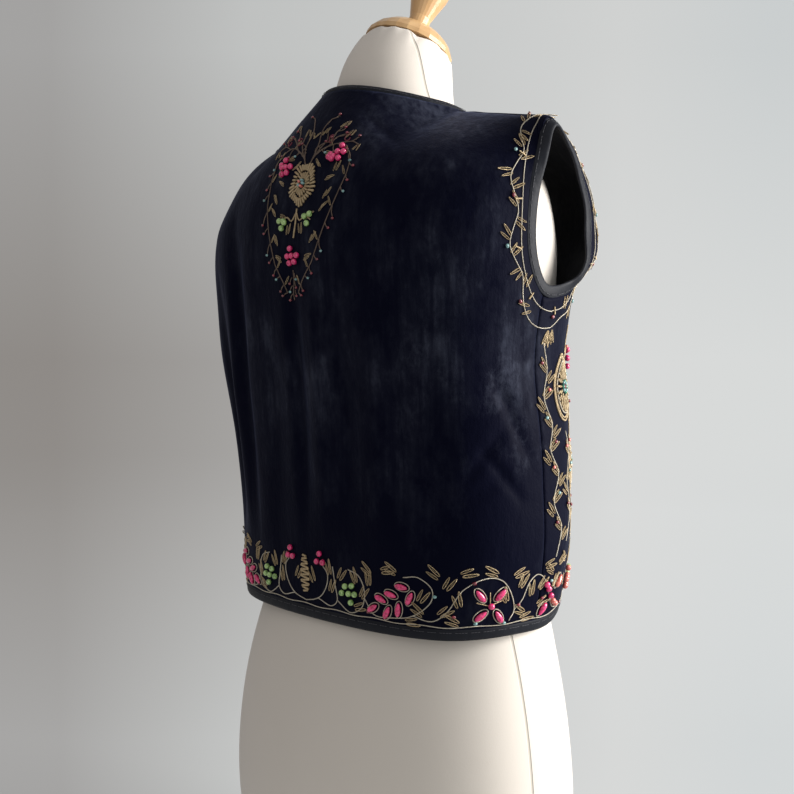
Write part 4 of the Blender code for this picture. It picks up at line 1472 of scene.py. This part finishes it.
def scatter(name, spots, item, finish):
    places, turns, sizes = ([tuple(value) for value in column] for column in zip(*spots))
    mesh = bpy.data.meshes.new(name)
    mesh.from_pydata(places, [], [])
    for attribute, values in (("turn", turns), ("stretch", sizes)):
        layer = mesh.attributes.new(attribute, "FLOAT_VECTOR", "POINT")
        layer.data.foreach_set("vector", np.array(values, dtype=np.float32).ravel())
    made = linked(name, mesh)
    nodesOn = made.modifiers.new("scatter", "NODES")
    nodesOn.node_group = scatterGroup
    nodesOn[socketOf["Item"]] = item
    nodesOn[socketOf["Finish"]] = finish
    applied(made)
    made.data.polygons.foreach_set("use_smooth", [True] * len(made.data.polygons))
    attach(made, "root")
    print(name, len(spots), "items", len(made.data.polygons), "faces")


placeCadBeads()
buildNape()
buildHem()
buildPads()
buildFronts()
buildArmhole(armLeft)
buildArmhole(armRight)
buildEdgeLine()
print("embroidery laid out")

threadTubes("goldThreads", sewn["gold"], gold)
threadTubes("couchedThreads", sewn["pale"], paleThread)
threadTubes("twigThreads", sewn["twig"], twigThread)
threadTubes("redThreads", sewn["red"], plainFinish("redThread", 0.5, (0.16, 0.012, 0.030)))
items = {
    "leaf": leafItem(),
    "strand": strandItem(),
    "round": beadItem("roundItem", 0.0, 9, 14, glass["pink"]),
    "drop": beadItem("dropItem", 0.35, 10, 12, glass["pink"]),
    "seed": beadItem("seedItem", 0.0, 5, 8, glass["darkRed"]),
}
scatter("purlLeaves", leafSpots, items["leaf"], gold)
scatter("purlStrands", strandSpots, items["strand"], gold)
for kind in ("round", "drop", "seed"):
    for colour, spots in sorted(beadSpots[kind].items()):
        scatter(kind + colour[0].upper() + colour[1:], spots, items[kind], glass[colour])
stitchThread = plainFinish("stitchThread", 0.6, (0.045, 0.045, 0.055))
stitches = []
for run in (armLeft, armRight, edgeRun):
    stitches += edgeStitches(run, 0.0032, 0.0016, 0.0022)
scatter("bindingStitches", stitches, items["strand"], stitchThread)
for item in items.values():
    bpy.data.objects.remove(item)
print("embroidery done")


# Stage, light and camera

studio = {"distance": 1.2, "azimuth": radians(230), "height": 0.50, "pitch": radians(3.3), "lens": 60.45}
heading = Vector((sin(studio["azimuth"]), -cos(studio["azimuth"]), 0))
rightward = Vector((cos(studio["azimuth"]), sin(studio["azimuth"]), 0))


def wallFinish():
    # The wall glows with painted light of its own: paler towards the window, greyer away from it, and darker
    # in a painted shadow of the vest.
    finish, tree, shader = newMaterial("wallLitGlow", (0.03, 0.03, 0.03), roughness=0.95, emissionStrength=1.0)
    coords = placeCoords(tree)

    def along(direction):
        made = node(tree, "ShaderNodeVectorMath", operation="DOT_PRODUCT")
        tree.links.new(coords, made.inputs[0])
        made.inputs[1].default_value = direction
        return made.outputs["Value"]
    depth = maths(tree, "ADD", maths(tree, "ABSOLUTE", along(tuple(heading))), studio["distance"])
    across = maths(tree, "DIVIDE", along(tuple(rightward)), depth)
    height = maths(tree, "DIVIDE", maths(tree, "SUBTRACT", along((0, 0, 1)), studio["height"]), depth)
    share = maths(tree, "ADD", maths(tree, "MULTIPLY", across, 1.65), 0.5)
    middle = ramp(tree, share, [
        (0.08, (0.238, 0.221, 0.207)), (0.32, (0.33, 0.32, 0.31)),
        (0.78, (0.655, 0.662, 0.657)), (0.95, (0.65, 0.665, 0.66)),
    ])
    ends = ramp(tree, share, [
        (0.08, (0.335, 0.330, 0.325)), (0.32, (0.49, 0.50, 0.495)),
        (0.78, (0.60, 0.61, 0.605)), (0.95, (0.565, 0.59, 0.595)),
    ])
    # A middle band of heights takes the middle tones. On the side away from the window these are darker, as
    # painted shadow of the vest, and towards the window they are a little brighter.
    far = ramp(tree, maths(tree, "ADD", height, 0.5), [
        (0.18, (1, 1, 1)), (0.40, (0.05,) * 3), (0.47, (0, 0, 0)), (0.70, (1, 1, 1)),
    ])
    tree.links.new(mixed(tree, far, middle, ends), shader.inputs["Emission Color"])
    return finish


def buildStage():
    # A wide pale floor that curves up all round into a wall.
    profile = [(0.0, -0.0005), (2.4, -0.0005)]
    profile += [(2.4 + sin(a), 1.0 - cos(a)) for a in np.linspace(0.15, pi / 2, 10)]
    profile.append((3.4, 4.5))
    turns = [2 * pi * k / 72 for k in range(72)]
    points = [(r * cos(turn), r * sin(turn), z) for r, z in profile for turn in turns]
    room = addMesh("studioFloor", points, ringFaces(len(profile), len(turns)), wallFinish())


def areaLight(name, place, aim, size, power, colour):
    light = bpy.data.lights.new(name, "AREA")
    light.shape = "RECTANGLE"
    light.size, light.size_y = size
    light.energy = power
    light.color = colour
    made = linked(name, light)
    made.location = place
    made.rotation_euler = (Vector(aim) - Vector(place)).to_track_quat("-Z", "Y").to_euler()


def buildLights():
    window = rightward * 1.9 + heading * 0.35 + Vector((0, 0, 0.95))
    areaLight("window", window, (0, 0, 0.45), (1.1, 1.5), 83.0, (1.0, 0.980, 0.95))
    fill = heading * 2.2 - rightward * 0.6 + Vector((0, 0, 1.5))
    areaLight("fill", fill, (0, 0, 0.45), (1.8, 1.8), 5.0, (1.0, 0.97, 0.94))
    world = bpy.data.worlds.new("air")
    bpy.context.scene.world = world
    world.use_nodes = True
    air = world.node_tree.nodes["Background"].inputs
    air["Color"].default_value = (0.90, 0.87, 0.88, 1)
    air["Strength"].default_value = 0.5


def buildCamera():
    lens = bpy.data.cameras.new("camera")
    lens.sensor_width = 36.0
    lens.lens = studio["lens"]
    lens.shift_x = 0.0033
    lens.clip_start = 0.01
    made = linked("camera", lens)
    made.location = heading * studio["distance"] + Vector((0, 0, studio["height"]))
    ahead = -heading * cos(studio["pitch"]) - Vector((0, 0, sin(studio["pitch"])))
    made.rotation_euler = ahead.to_track_quat("-Z", "Y").to_euler()
    bpy.context.scene.camera = made


buildStage()
buildLights()
buildCamera()
bpy.context.scene.view_settings.view_transform = "Standard"
print("stage done")
